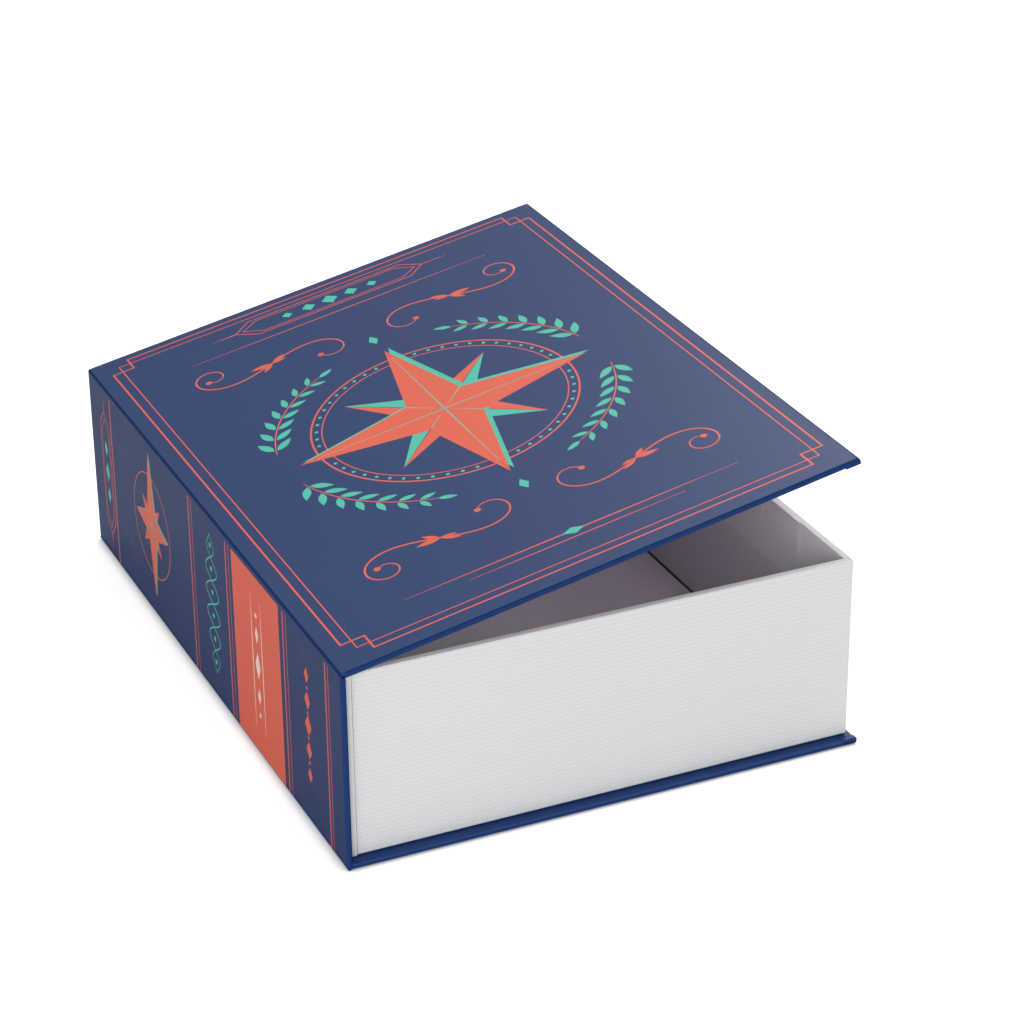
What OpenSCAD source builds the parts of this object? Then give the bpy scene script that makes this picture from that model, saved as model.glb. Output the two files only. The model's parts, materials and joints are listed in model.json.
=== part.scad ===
// Storage box in the shape of a hardback book, with its front cover a little open.
// Millimetres. X runs from the spine to the fore edge, Y from the tail to the head, Z up.
// The origin is on the table, under the middle of the box.
// Pieces of the front cover are drawn closed and then turned about the hinge line.

/* [Case] */
// Width over the spine and the fore edge
case_w = 190; // [150:1:240]
// Length from head to tail
case_l = 264; // [200:1:340]
// Thickness over both covers, closed
case_h = 73; // [50:1:110]
// Thickness of the cover and spine boards
board_t = 1.8; // [1.4:0.1:2.6]
// Thickness of the printed paper round the boards
wrap_t = 0.15; // [0.1:0.05:0.3]
// Width of printed paper turned over the inner faces
turn_in = 15; // [10:1:20]
// Width of the open line where two turned-in flaps meet
mitre_gap = 0.2; // [0.1:0.05:0.4]

/* [Joints] */
// Opening of the front cover at rest, in degrees
open_angle = 11.4; // [2:0.2:45]
// Gap between the spine board and the back board
lower_gap = 0.2; // [0.1:0.1:1]
// Distance from the face of the spine to the front board
joint_run = 2; // [1.8:0.1:2.6]
// Gap between the closed front cover's lining and the spine board's lined edge
joint_gap = 0.3; // [0.2:0.1:0.8]
// Depth of the fold line below both outer faces of the closed case
fold_inset = 0.3; // [0.2:0.05:0.35]
// Distance from the case's corner to where the paper leaves a face for the fold line
fold_run = 0.9; // [0.8:0.05:1.3]
// Clear length at the fold line on each side of the fold
fold_gap = 0.2; // [0.15:0.05:0.3]
// Width of the joint lining glued to the spine board
joint_flange = 12; // [8:1:25]

/* [Tray] */
// Overhang of the covers past the tray at head and tail
end_square = 4.2; // [2:0.1:6]
// Overhang of the covers past the tray at the fore edge
fore_square = 2.1; // [1.5:0.1:5]
// Thickness of the tray's wall boards
wall_t = 1.8; // [1.4:0.1:3]
// Thickness of the tray's floor board
floor_t = 1.8; // [1.4:0.1:3]
// Gap between the closed front cover and the tray's rim
rim_gap = 0.6; // [0.5:0.1:2]
// Thickness of the gummed strips round the tray's corners
stay_t = 0.1; // [0.1:0.05:0.2]
// Width of a gummed strip on each side of its corner
stay_leg = 12; // [8:1:20]

/* [Page paper] */
// Thickness of the paper that covers the tray
page_t = 0.2; // [0.15:0.05:0.3]
// Distance from one page line to the next
rib_pitch = 1.6; // [1.2:0.1:3]
// Height of a page line above the paper
rib_h = 0.12; // [0.08:0.02:0.2]
// Width of the groove between two page lines
groove_w = 0.45; // [0.3:0.05:0.6]
// Distance from the tray's spine side to the ribbed paper's end
seam_lap = 2.9; // [2.4:0.1:12]
// Depth of paper turned down inside the tray, as far as the lining
page_turn = 24; // [12:1:40]
// Width of paper turned under the tray
under_turn = 12; // [8:1:20]

/* [Lining] */
// Thickness of the lining papers
lining_t = 0.15; // [0.1:0.05:0.3]
// Height of lining that laps over the turned-in page paper
lining_lap = 3.5; // [2:0.5:8]
// Thickness of the loose card on the tray's floor
card_t = 1.2; // [0.8:0.1:2]
// Gap between the covered floor card and the lined walls
card_gap = 0.4; // [0.2:0.1:1]
// Border of printed paper left bare round the cover lining
lining_border = 3.5; // [2:0.5:8]

/* [Closure] */
// Length of a steel plate along the fore edge
plate_l = 25; // [15:1:40]
// Height of a steel plate
plate_h = 15; // [8:1:25]
// Thickness of a steel plate
plate_t = 0.5; // [0.4:0.1:0.8]
// Slope run of the paper round a steel plate
plate_slope = 0.8; // [0.4:0.1:2]
// Distance from the end of the case to the near end of a steel plate
plate_end = 37.5; // [25:0.5:60]
// Diameter of a magnet in the front board
magnet_d = 10; // [6:1:12]
// Thickness of a magnet
magnet_t = 1.2; // [0.8:0.1:1.3]
// Radial gap between a magnet and its pocket
magnet_gap = 0.1; // [0.05:0.05:0.2]
// Board left between a magnet pocket and the fore edge
magnet_web = 1.3; // [0.8:0.1:3]

/* [Hidden] */
$fn = 96;

// Small overlap of a cutting shape past the face that it cuts
cut = 1;

half_w = case_w / 2;
half_l = case_l / 2;
cover_t = board_t + 2 * wrap_t;
board_half_l = half_l - wrap_t;
spine_x = -half_w;

// Lower joint between the spine and the back cover
lower_r = cover_t + lower_gap;
back_x0 = spine_x + lower_r;
spine_z0 = lower_r;

// Upper joint between the spine and the front cover
front_x0 = spine_x + joint_run;
spine_z1 = case_h - cover_t - lining_t - joint_gap - lining_t;
hinge_x = spine_x + fold_inset;
hinge_z = case_h - fold_inset;
spine_inner_x = spine_x + cover_t;

// Tray, over its paper and over its boards
paper_out = stay_t + page_t;
rib_out = paper_out + rib_h;
tray_x0 = spine_inner_x + lining_t;
tray_x1 = half_w - fore_square;
tray_y1 = half_l - end_square;
tray_z0 = cover_t;
rim_z = case_h - cover_t - rim_gap;
wall_x0 = tray_x0 + paper_out;
wall_x1 = tray_x1 - rib_out;
wall_y1 = tray_y1 - rib_out;
wall_z0 = tray_z0 + page_t;
wall_z1 = rim_z - page_t;
well_x0 = wall_x0 + wall_t;
well_x1 = wall_x1 - wall_t;
well_y1 = wall_y1 - wall_t;
seam_x = tray_x0 + seam_lap;

// Heights of the floor's layers and of the linings
floor_z1 = wall_z0 + floor_t;
card_z1 = floor_z1 + card_t;
lap_z1 = rim_z - page_turn;
lap_z0 = lap_z1 - lining_lap;

// Steel plates and magnets
plate_z0 = wall_z1 - plate_h;
plate_y = half_l - plate_end - plate_l / 2;
magnet_x = half_w - wrap_t - magnet_web - magnet_gap - magnet_d / 2;
front_inner_z = case_h - cover_t;
board_inner_z = front_inner_z + wrap_t;

// Point at distance back along the line from a to b, short of b
function short_of(a, b, back) = b + back * (a - b) / norm(a - b);
// Point to the right of the middle of a bent line, at the same depth off both of its legs
function inner_corner(a, b, c, depth) =
    let (
        u = (b - a) / norm(b - a),
        v = (c - b) / norm(c - b),
        way = [u[1] + v[1], -u[0] - v[0]]
    )
    b + depth * 2 * way / (way * way);
function right_of(a, b) = [b[1] - a[1], a[0] - b[0]] / norm(b - a);
function reversed(list) = [for (i = [len(list) - 1:-1:0]) list[i]];
function mirrored_x(list) = [for (p = reversed(list)) [-p[0], p[1]]];

// Where the printed paper leaves the spine's face, and the fold line that it runs to
lip_leave = [spine_x, case_h - fold_run];
lip_fold = [hinge_x, hinge_z];
lip_tip = short_of(lip_leave, lip_fold, fold_gap);
// Bend and end of a paper that lies at a depth below the spine's face, on its way to the fold line
function lip_points(depth) = [
    inner_corner([spine_x, spine_z0], lip_leave, lip_fold, depth),
    lip_tip + depth * right_of(lip_leave, lip_fold)
];
// Bend, end, end and bend of a lip between two depths
function lip_path(outer, inner) = concat(lip_points(outer), reversed(lip_points(inner)));
// The same points on the front cover, mirrored across the fold
function on_cover_side(points) =
    [for (p = points) [spine_x + case_h - p[1], case_h + spine_x - p[0]]];

// Outline of page lines from height low to height high, on paper whose face is at depth face
function page_lines(face, low, high) =
    let (
        count = floor((high - low) / rib_pitch),
        first = low + (high - low - count * rib_pitch) / 2,
        half_groove = groove_w / 2,
        slope = rib_h
    )
    count < 1 ? [] : [
        for (i = [0:count - 1], p = [
            [face, first + i * rib_pitch + half_groove - slope / 2],
            [face + rib_h, first + i * rib_pitch + half_groove + slope / 2],
            [face + rib_h, first + (i + 1) * rib_pitch - half_groove - slope / 2],
            [face, first + (i + 1) * rib_pitch - half_groove + slope / 2]
        ]) p
    ];

// Turns pieces of the front cover from closed to the rest position
module on_front_cover() {
    translate([hinge_x, 0, hinge_z])
        rotate([0, -open_angle, 0])
            translate([-hinge_x, 0, -hinge_z])
                children();
}

// Draws an outline of X and Z along Y, the same length to both sides of the middle
module along_y(half_length) {
    rotate([90, 0, 0])
        linear_extrude(2 * half_length, center = true)
            children();
}

// Block between two corners, the same length to both sides in Y
module block(x0, x1, half_y, z0, z1) {
    translate([x0, -half_y, z0])
        cube([x1 - x0, 2 * half_y, z1 - z0]);
}

module at_both_ends() {
    children();
    mirror([0, 1, 0])
        children();
}

// Open line at 45 degrees through turned-in paper whose lower face is at height z, from an inner
// corner out to the case's corner
module mitre_lines(z) {
    reach = turn_in * sqrt(2) - cover_t;
    at_both_ends()
        translate([half_w - turn_in, half_l - turn_in, z - cut])
            rotate([0, 0, 45])
                translate([-cut, -mitre_gap / 2, 0])
                    cube([reach + cut, mitre_gap, wrap_t + 2 * cut]);
}

// Printed paper round the back cover, with the rounded lower joint at the spine
module back_cover_wrap() {
    color([0.2, 0.26, 0.42])
        difference() {
            along_y(half_l)
                back_outline(0);
            along_y(board_half_l)
                back_outline(wrap_t);
            block(back_x0 - cut, half_w - turn_in, half_l - turn_in, wrap_t + cut, cover_t + cut);
            mitre_lines(cover_t - wrap_t);
        }
}

// Section of the back cover and its rounded joint, drawn in by a paper's thickness
module back_outline(inset) {
    intersection() {
        translate([back_x0, lower_r])
            circle(lower_r - inset);
        translate([spine_x, 0])
            square(lower_r);
    }
    translate([back_x0, inset])
        square([half_w - inset - back_x0, cover_t - 2 * inset]);
}

module back_board() {
    color([0.62, 0.58, 0.52])
        block(back_x0, half_w - wrap_t, board_half_l, wrap_t, wrap_t + board_t);
}

// Printed paper round the spine board, open at the lower joint, with a lip up to the fold line
module spine_wrap() {
    color([0.2, 0.25, 0.4]) {
        difference() {
            block(spine_x, spine_inner_x, half_l, spine_z0, spine_z1);
            block(spine_x + wrap_t, spine_inner_x - wrap_t, board_half_l, spine_z0 - cut, spine_z1 + cut);
            block(spine_inner_x - wrap_t - cut, spine_inner_x + cut, half_l - turn_in,
                  spine_z0 - cut, spine_z1 + cut);
        }
        along_y(half_l)
            polygon(concat(
                [[spine_x, spine_z0]],
                lip_path(0, wrap_t),
                [[spine_x + wrap_t, spine_z0]]
            ));
    }
}

module spine_board() {
    color([0.62, 0.58, 0.52])
        block(spine_x + wrap_t, spine_inner_x - wrap_t, board_half_l, spine_z0, spine_z1);
}

// Strip of lining glued inside the joint, from the fold line over the spine board's edge and down
// its inner face
module joint_lining() {
    under_wrap = wrap_t + lining_t;
    color([0.66, 0.6, 0.66])
        along_y(half_l - lining_border)
            polygon(concat(
                [[spine_x + wrap_t, spine_z1]],
                lip_path(wrap_t, under_wrap),
                [[spine_x + under_wrap, spine_z1 + lining_t], [tray_x0, spine_z1 + lining_t]],
                [[tray_x0, spine_z1 - joint_flange], [spine_inner_x, spine_z1 - joint_flange]],
                [[spine_inner_x, spine_z1]]
            ));
}

module tray_floor() {
    color([0.62, 0.58, 0.52])
        block(well_x0, well_x1, well_y1, wall_z0, floor_z1);
}

module tray_spine_wall() {
    color([0.6, 0.56, 0.5])
        block(wall_x0, well_x0, well_y1, wall_z0, wall_z1);
}

module tray_fore_edge_wall() {
    color([0.6, 0.56, 0.5])
        block(well_x1, wall_x1, well_y1, wall_z0, wall_z1);
}

module tray_head_wall() {
    color([0.64, 0.6, 0.54])
        translate([wall_x0, well_y1, wall_z0])
            cube([wall_x1 - wall_x0, wall_t, wall_z1 - wall_z0]);
}

module tray_tail_wall() {
    color([0.64, 0.6, 0.54])
        translate([wall_x0, -wall_y1, wall_z0])
            cube([wall_x1 - wall_x0, wall_t, wall_z1 - wall_z0]);
}

// Gummed paper strips that hold the walls together at the four upright corners
module corner_stays() {
    color([0.8, 0.72, 0.55])
        translate([0, 0, wall_z0])
            linear_extrude(wall_z1 - wall_z0)
                for (side = [-1, 1])
                    scale([1, side]) {
                        corner_strip(wall_x0, 1);
                        corner_strip(wall_x1, -1);
                    }
}

// Plan of one gummed strip at the corner of the walls at x, with the tray towards inward
module corner_strip(x, inward) {
    translate([x, wall_y1])
        scale([inward, 1])
            difference() {
                translate([-stay_t, -stay_leg])
                    square(stay_leg + stay_t);
                translate([0, -stay_leg - cut])
                    square([stay_leg + cut, stay_leg + cut]);
            }
}

// Section of paper round a wall. Zero is the wall's outer face and the table, and the paper runs
// up the outside, over the rim, down the inside and a little way under the wall.
module sleeve_outline(ribbed) {
    outer = ribbed ? page_lines(paper_out, tray_z0 + page_t, rim_z - page_t) : [];
    inner = ribbed ? page_lines(wall_t + page_t, lap_z1, rim_z - page_t) : [];
    polygon(concat(
        [[-under_turn, tray_z0], [paper_out - page_t, tray_z0], [paper_out, tray_z0 + page_t]],
        outer,
        [[paper_out, rim_z - page_t], [paper_out - page_t, rim_z]],
        [[-wall_t, rim_z], [-wall_t - page_t, rim_z - page_t]],
        mirrored_x(inner),
        [[-wall_t - page_t, lap_z0], [-wall_t, lap_z0], [-wall_t, wall_z1], [stay_t, wall_z1]],
        [[stay_t, wall_z0], [-under_turn, wall_z0]]
    ));
}

// Paper along the fore-edge wall or, mirrored, along the spine wall
module sleeve_along_y(wall_x, out, ribbed) {
    translate([wall_x, 0, 0])
        scale([out, 1, 1])
            along_y(half_l)
                sleeve_outline(ribbed);
}

// Paper along the head and tail walls
module sleeve_along_x(ribbed) {
    at_both_ends()
        translate([0, wall_y1, 0])
            rotate([90, 0, 90])
                linear_extrude(2 * half_w, center = true)
                    sleeve_outline(ribbed);
}

// Column over a plan outline, as high as the tray
module column() {
    linear_extrude(case_h)
        children();
}

// Plan of the side of the tray that two mitres at 45 degrees leave to the wall at x
module end_plan(x, out) {
    reach = wall_y1 + half_w;
    translate([x - out * wall_y1, 0])
        polygon([[0, 0], [out * reach, -reach], [out * reach, reach]]);
}

// Plain paper on the tray's spine side, folded a little way round onto the head and tail walls
module spine_side_paper() {
    color([0.88, 0.88, 0.87]) {
        intersection() {
            sleeve_along_y(wall_x0, -1, false);
            column() end_plan(wall_x0, -1);
        }
        difference() {
            sleeve_along_x(false);
            column() end_plan(wall_x0, -1);
            translate([seam_x, -half_l, -cut])
                cube([case_w, case_l, case_h]);
        }
    }
}

// Ribbed paper like a block of pages, in one strip round the head, fore edge and tail
module page_edge_paper() {
    color([0.9, 0.9, 0.89])
        difference() {
            union() {
                intersection() {
                    sleeve_along_y(wall_x1, 1, true);
                    column() end_plan(wall_x1, 1);
                }
                difference() {
                    sleeve_along_x(true);
                    column() end_plan(wall_x1, 1);
                    column() end_plan(wall_x0, -1);
                    translate([seam_x - case_w, -half_l, -cut])
                        cube([case_w, case_l, case_h]);
                }
                at_both_ends()
                    plate_bulge();
            }
            plate_blocks();
        }
}

// Rise of the page paper over one steel plate
module plate_bulge() {
    rise = plate_t + page_t;
    half_plate = plate_l / 2 + page_t;
    low = plate_z0 - page_t;
    intersection() {
        column()
            translate([well_x1, plate_y])
                polygon([
                    [0, half_plate + plate_slope], [-rise, half_plate],
                    [-rise, -half_plate], [0, -half_plate - plate_slope]
                ]);
        along_y(half_l)
            translate([well_x1, 0])
                polygon([
                    [0, low - plate_slope], [0, rim_z], [-rise + page_t, rim_z],
                    [-rise, rim_z - page_t], [-rise, low]
                ]);
    }
}

module plate_blocks() {
    at_both_ends()
        translate([well_x1 - plate_t, plate_y - plate_l / 2, plate_z0])
            cube([plate_t, plate_l, plate_h]);
}

// Thin steel plates on the fore-edge wall, under the page paper
module closure_plates() {
    color([0.7, 0.71, 0.73])
        plate_blocks();
}

// Ring of wall lining between two depths off the wall boards and two heights
module lining_ring(near, deep, z0, z1) {
    difference() {
        block(well_x0 + near, well_x1 - near, well_y1 - near, z0, z1);
        block(well_x0 + deep, well_x1 - deep, well_y1 - deep, z0 - cut, z1 + cut);
    }
}

// Lining of the four walls, whose top edge laps over the turned-in page paper
module wall_lining() {
    color([0.62, 0.56, 0.62]) {
        lining_ring(0, lining_t, floor_z1, lap_z0 - lining_t);
        lining_ring(0, page_t + lining_t, lap_z0 - lining_t, lap_z0);
        lining_ring(page_t, page_t + lining_t, lap_z0, lap_z1);
    }
}

// Loose card on the tray's floor
module floor_card() {
    inset = lining_t + card_gap + lining_t;
    color([0.62, 0.58, 0.52])
        block(well_x0 + inset, well_x1 - inset, well_y1 - inset, floor_z1, card_z1);
}

// Lining paper over the floor card and round its edges
module floor_card_paper() {
    inset = lining_t + card_gap;
    color([0.66, 0.6, 0.66])
        difference() {
            block(well_x0 + inset, well_x1 - inset, well_y1 - inset, floor_z1, card_z1 + lining_t);
            block(well_x0 + inset + lining_t, well_x1 - inset - lining_t, well_y1 - inset - lining_t,
                  floor_z1 - cut, card_z1);
        }
}

// Printed paper round the front cover, with a lip back to the fold line
module front_cover_wrap() {
    color([0.24, 0.3, 0.46])
        on_front_cover() {
            difference() {
                block(front_x0, half_w, half_l, front_inner_z, case_h);
                block(front_x0 - cut, half_w - wrap_t, board_half_l, board_inner_z, case_h - wrap_t);
                block(front_x0 - cut, half_w - turn_in, half_l - turn_in,
                      front_inner_z - cut, board_inner_z + cut);
                mitre_lines(front_inner_z);
            }
            along_y(half_l)
                polygon(concat(
                    [[half_w, case_h]],
                    on_cover_side(lip_path(0, wrap_t)),
                    [[half_w, case_h - wrap_t]]
                ));
        }
}

// Front board, with round pockets for the magnets in its inner face
module front_board() {
    color([0.62, 0.58, 0.52])
        on_front_cover()
            difference() {
                block(front_x0, half_w - wrap_t, board_half_l, board_inner_z, case_h - wrap_t);
                at_both_ends()
                    translate([magnet_x, plate_y, board_inner_z - cut])
                        cylinder(h = magnet_t + cut, d = magnet_d + 2 * magnet_gap);
            }
}

// Lining paper on the front cover's inner face, over the board's edge and on to the fold line
module front_cover_lining() {
    under_wrap = wrap_t + lining_t;
    edge_x = front_x0 - lining_t;
    face_z = front_inner_z - lining_t;
    far_x = half_w - lining_border;
    color([0.66, 0.6, 0.66])
        on_front_cover()
            along_y(half_l - lining_border)
                polygon(concat(
                    [[front_x0, case_h - wrap_t]],
                    on_cover_side(lip_path(wrap_t, under_wrap)),
                    [[edge_x, case_h - under_wrap], [edge_x, face_z], [far_x, face_z]],
                    [[far_x, front_inner_z], [front_x0, front_inner_z]]
                ));
}

// Disc magnets, level with the front board's inner face
module cover_magnets() {
    color([0.78, 0.78, 0.8])
        on_front_cover()
            at_both_ends()
                translate([magnet_x, plate_y, board_inner_z])
                    cylinder(h = magnet_t, d = magnet_d);
}

back_cover_wrap();
back_board();
spine_wrap();
spine_board();
joint_lining();
tray_floor();
tray_spine_wall();
tray_fore_edge_wall();
tray_head_wall();
tray_tail_wall();
corner_stays();
spine_side_paper();
page_edge_paper();
closure_plates();
wall_lining();
floor_card();
floor_card_paper();
front_cover_wrap();
front_board();
front_cover_lining();
cover_magnets();
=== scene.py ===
"""Book box: a lined tray with ribbed page-edge paper, in a case of hinged boards under one printed sheet.

The packed model is the frame. The pieces below are its boards, its printed paper, the fold of its upper joint,
its page paper, its floor panel, the print on its covers, and the studio round it. Lengths are in metres.
"""

import json
import math

import bpy
from bpy.props import FloatProperty, FloatVectorProperty, PointerProperty
from mathutils import Matrix, Vector


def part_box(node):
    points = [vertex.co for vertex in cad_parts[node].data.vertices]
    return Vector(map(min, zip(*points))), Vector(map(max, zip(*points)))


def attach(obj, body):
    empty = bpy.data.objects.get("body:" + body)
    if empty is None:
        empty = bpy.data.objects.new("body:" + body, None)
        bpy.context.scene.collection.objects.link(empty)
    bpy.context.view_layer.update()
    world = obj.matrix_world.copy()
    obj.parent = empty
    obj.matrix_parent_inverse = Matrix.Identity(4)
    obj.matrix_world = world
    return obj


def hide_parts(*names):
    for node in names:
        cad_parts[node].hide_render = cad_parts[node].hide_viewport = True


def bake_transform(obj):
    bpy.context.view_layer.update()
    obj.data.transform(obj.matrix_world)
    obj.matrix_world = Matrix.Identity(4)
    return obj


bl_info = {
    "name": "Book box",
    "version": (1, 0, 0),
    "blender": (4, 5, 0),
    "location": "3D View > Sidebar > Book box",
    "description": "Builds a hinged book-shaped box from printed, ribbed and lining papers",
    "category": "Object",
}

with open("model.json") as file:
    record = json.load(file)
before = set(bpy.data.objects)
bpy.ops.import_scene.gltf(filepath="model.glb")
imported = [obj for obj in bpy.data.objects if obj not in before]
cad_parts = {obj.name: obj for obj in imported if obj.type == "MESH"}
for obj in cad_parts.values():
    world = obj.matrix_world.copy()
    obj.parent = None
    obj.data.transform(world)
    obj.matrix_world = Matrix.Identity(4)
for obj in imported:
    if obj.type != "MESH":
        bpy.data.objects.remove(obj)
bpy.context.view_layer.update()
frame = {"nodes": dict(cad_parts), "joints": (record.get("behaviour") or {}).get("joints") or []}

MM = 0.001

CASE = "case_and_tray"
COVER = "front_cover"

# The fold line of the upper joint, and the turn of the front cover about it at rest.
HINGE = frame["joints"][0]
FOLD = Vector(HINGE["pos_m"])
OPENING = -math.radians(HINGE["range_deg"][0])
OPEN = Matrix.Translation(FOLD) @ Matrix.Rotation(-OPENING, 4, "Y") @ Matrix.Translation(-FOLD)
CLOSE = OPEN.inverted()
COVER_UP = OPEN.to_3x3() @ Vector((0, 0, 1))

# The case, as the closed book stands.
HALF_WIDTH = 95 * MM
HALF_LENGTH = 132 * MM
COVER_TOP = 73 * MM
COVER_THICKNESS = 2.1 * MM
PAPER = 0.15 * MM
SPINE_BOARD_TOP = 70.29 * MM
COVER_BOARD_START = -92.99 * MM
LOWER_CORNER = 2.3 * MM

# The tray and its papers.
FORE_EDGE = 92.9 * MM
PAGE_REACH = 127.8 * MM
PLATE_MIDDLE = 82 * MM
PLATE_HALF = 12.7 * MM
LINE_PITCH = 1.6 * MM
OUTER_GROOVE = 2.6 * MM
INNER_GROOVE = 69.4 * MM
GROOVE_DEPTH = 0.12 * MM
RIM = 70.25 * MM
PANEL_TOP = 5.5 * MM
LINING_BORDER = 3.5 * MM

# The print: the upper ends of the spine's rules, and the line on the spine that its plaque lies on.
RULE_TOP = 70.6 * MM
PLAQUE = -113.8 * MM

# How near to each other two places count as the same.
NEAR = 0.01 * MM

# The least cosine between a face's normal and a direction at which the face counts as flat.
FLAT = 0.985

# Edges of less than this angle, in degrees, are shaded smooth on boards and printed papers.
ROUNDING = 35


# Settings

def length_setting(name, description, default, low, high):
    """A setting for a length, given in millimetres."""
    return FloatProperty(name=name, description=description, default=default * MM, min=low * MM,
                         max=high * MM, unit="LENGTH", precision=5)


def colour_setting(name, description, default):
    return FloatVectorProperty(name=name, description=description, default=default, subtype="COLOR", size=3,
                               min=0.0, max=1.0)


def angle_setting(name, description, degrees):
    return FloatProperty(name=name, description=description, default=math.radians(degrees), subtype="ANGLE")


class BookBoxForm(bpy.types.PropertyGroup):
    """Sizes of the folded papers"""

    fold_radius: length_setting(
        "Fold radius", "Radius of the paper where it turns over a board's edge", 0.92, 0.3, 1.0)
    lower_radius: length_setting(
        "Lower joint", "Radius of the paper between the spine and the back cover", 1.05, 1.0, 2.2)
    joint_bevel: length_setting(
        "Joint bend", "Length of each side of the bend at the upper joint", 0.75, 0.3, 1.25)
    page_corner: length_setting(
        "Page corner", "Radius of the page paper at the tray's upright corners", 0.35, 0.1, 0.6)
    page_foot: length_setting(
        "Page foot", "Width of the bevel along the foot of the page paper", 0.6, 0.1, 0.7)
    groove_fill: length_setting(
        "Groove fill", "How far the bottoms of the outer page lines are raised", 0.07, 0.0, 0.1)
    rim_ease: length_setting(
        "Rim ease", "Width of the slope along the outer edge of the tray's rim", 0.3, 0.0, 1.0)
    seam_gap: length_setting(
        "Seam gap", "Gap between the ribbed paper and the plain strip beside it", 0.16, 0.0, 0.5)
    panel_gap: length_setting(
        "Panel gap", "How much smaller the floor panel is cut on each side than the space allows",
        0.5, 0.0, 2.0)
    spine_inset: length_setting(
        "Spine inset", "Depth that the spine's paper lies back, so that its print stays in the box's size",
        0.03, 0.0, 0.1)
    plate_slope: FloatProperty(
        name="Plate slope", description="Length over which the page paper rises to a steel plate, times",
        default=4.0, min=1.0, max=6.0)


class BookBoxPrint(bpy.types.PropertyGroup):
    """Sizes of the print"""

    lift: length_setting("Ink lift", "Height of the upper ink layer over the paper", 0.02, 0.005, 0.05)
    wide_rule: length_setting("Wide rule", "Width of the heavier rules", 0.68, 0.2, 2)
    thin_rule: length_setting("Thin rule", "Width of the lighter rules", 0.45, 0.1, 2)
    spine_wide_rule: length_setting("Wide spine rule", "Width of the heavier rules on the spine", 0.9, 0.2, 2)
    spine_thin_rule: length_setting(
        "Thin spine rule", "Width of the lighter rules on the spine", 0.42, 0.1, 2)
    frame_step: length_setting(
        "Frame step", "Side of the square step in each corner of the outer frame rule", 8.4, 2, 20)
    star_radius: length_setting(
        "Star radius", "Length of the long points of the star on the front cover", 57, 20, 70)
    star_gap: length_setting(
        "Star line", "Width of the line between the halves of each point of the star", 0.55, 0.1, 2)


class BookBoxFinish(bpy.types.PropertyGroup):
    """Colours of the papers, boards and metals"""

    navy: colour_setting("Navy", "Ground of the printed paper", (0.0095, 0.036, 0.142))
    coral: colour_setting("Coral", "Main ink of the print", (0.78, 0.125, 0.068))
    teal: colour_setting("Teal", "Second ink of the print", (0.075, 0.54, 0.40))
    cream: colour_setting("Cream", "Ink of the ornament on the spine's panel", (0.87, 0.76, 0.66))
    page: colour_setting("Page paper", "Ribbed paper of the page edges", (0.755, 0.76, 0.77))
    # The page paper again, with painted shade: darker and tinted mauve, as in the shade under the lid.
    turned_page_with_painted_shade: colour_setting("Turned-in page paper", "Ribbed paper inside the tray", (0.60, 0.575, 0.61))
    lining: colour_setting("Lining paper", "Paper inside the tray and the covers", (0.60, 0.54, 0.61))
    board: colour_setting("Greyboard", "Raw board", (0.30, 0.26, 0.21))
    gummed: colour_setting("Gummed paper", "Strips round the tray's corners", (0.40, 0.35, 0.30))
    steel: colour_setting("Steel", "Plates in the fore-edge wall", (0.42, 0.43, 0.45))
    nickel: colour_setting("Nickel", "Plating of the magnets", (0.62, 0.60, 0.56))


class BookBoxStudio(bpy.types.PropertyGroup):
    """The camera and the floor"""

    camera_place: FloatVectorProperty(
        name="Camera", description="Place of the camera", subtype="TRANSLATION", size=3,
        default=(-0.389434, -0.920522, 0.547690))
    azimuth: angle_setting("Azimuth", "Direction of the camera round the box", -24.182)
    elevation: angle_setting("Elevation", "Height of the camera as an angle", 26.455)
    roll: angle_setting("Roll", "Turn of the camera about its view", -0.549)
    lens: FloatProperty(
        name="Lens", description="Focal length of the camera in millimetres",
        default=107.95, min=20.0, max=300.0)
    floor_size: FloatProperty(
        name="Floor", description="Side of the floor", default=8.0, min=1.0, max=20.0, unit="LENGTH")


# Working with meshes

def only_nothing():
    bpy.ops.object.select_all(action="DESELECT")


def only(obj):
    """Makes obj the one selected object, and the active one."""
    only_nothing()
    obj.select_set(True)
    bpy.context.view_layer.objects.active = obj


def disc(vertices, radius, place=(0, 0, 0)):
    """A filled circle with that many vertices."""
    only_nothing()
    bpy.ops.mesh.primitive_circle_add(vertices=vertices, fill_type="NGON", radius=radius, location=place)
    return bpy.context.object


def plane(size, place, turn=(0.0, 0.0, 0.0)):
    only_nothing()
    bpy.ops.mesh.primitive_plane_add(size=size, location=place, rotation=turn)
    return bpy.context.object


def every(part):
    """A test that takes all vertices, edges or faces."""
    return True


def choose(obj, kind, test):
    """Opens obj in edit mode with those of its vertices, edges or faces selected that test is true for."""
    only(obj)
    bpy.context.tool_settings.mesh_select_mode = (kind == "vertices", kind == "edges", kind == "polygons")
    mesh = obj.data
    for parts in (mesh.vertices, mesh.edges, mesh.polygons):
        parts.foreach_set("select", [False] * len(parts))
    for part in getattr(mesh, kind):
        part.select = test(part)
    bpy.ops.object.mode_set(mode="EDIT")


def close_edit():
    bpy.ops.object.mode_set(mode="OBJECT")


def ends(obj, edge):
    return [obj.data.vertices[i].co for i in edge.vertices]


def settle(obj):
    """Puts an object's place, turn and size into its mesh."""
    only(obj)
    bpy.ops.object.transform_apply(location=True, rotation=True, scale=True)
    return obj


def merged(obj):
    """Merges the loose triangles of a copied mesh into whole faces."""
    choose(obj, "vertices", every)
    bpy.ops.mesh.remove_doubles(threshold=0.1 * NEAR)
    bpy.ops.mesh.dissolve_limited(angle_limit=math.radians(0.5))
    bpy.ops.mesh.normals_make_consistent(inside=False)
    close_edit()
    return obj


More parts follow.
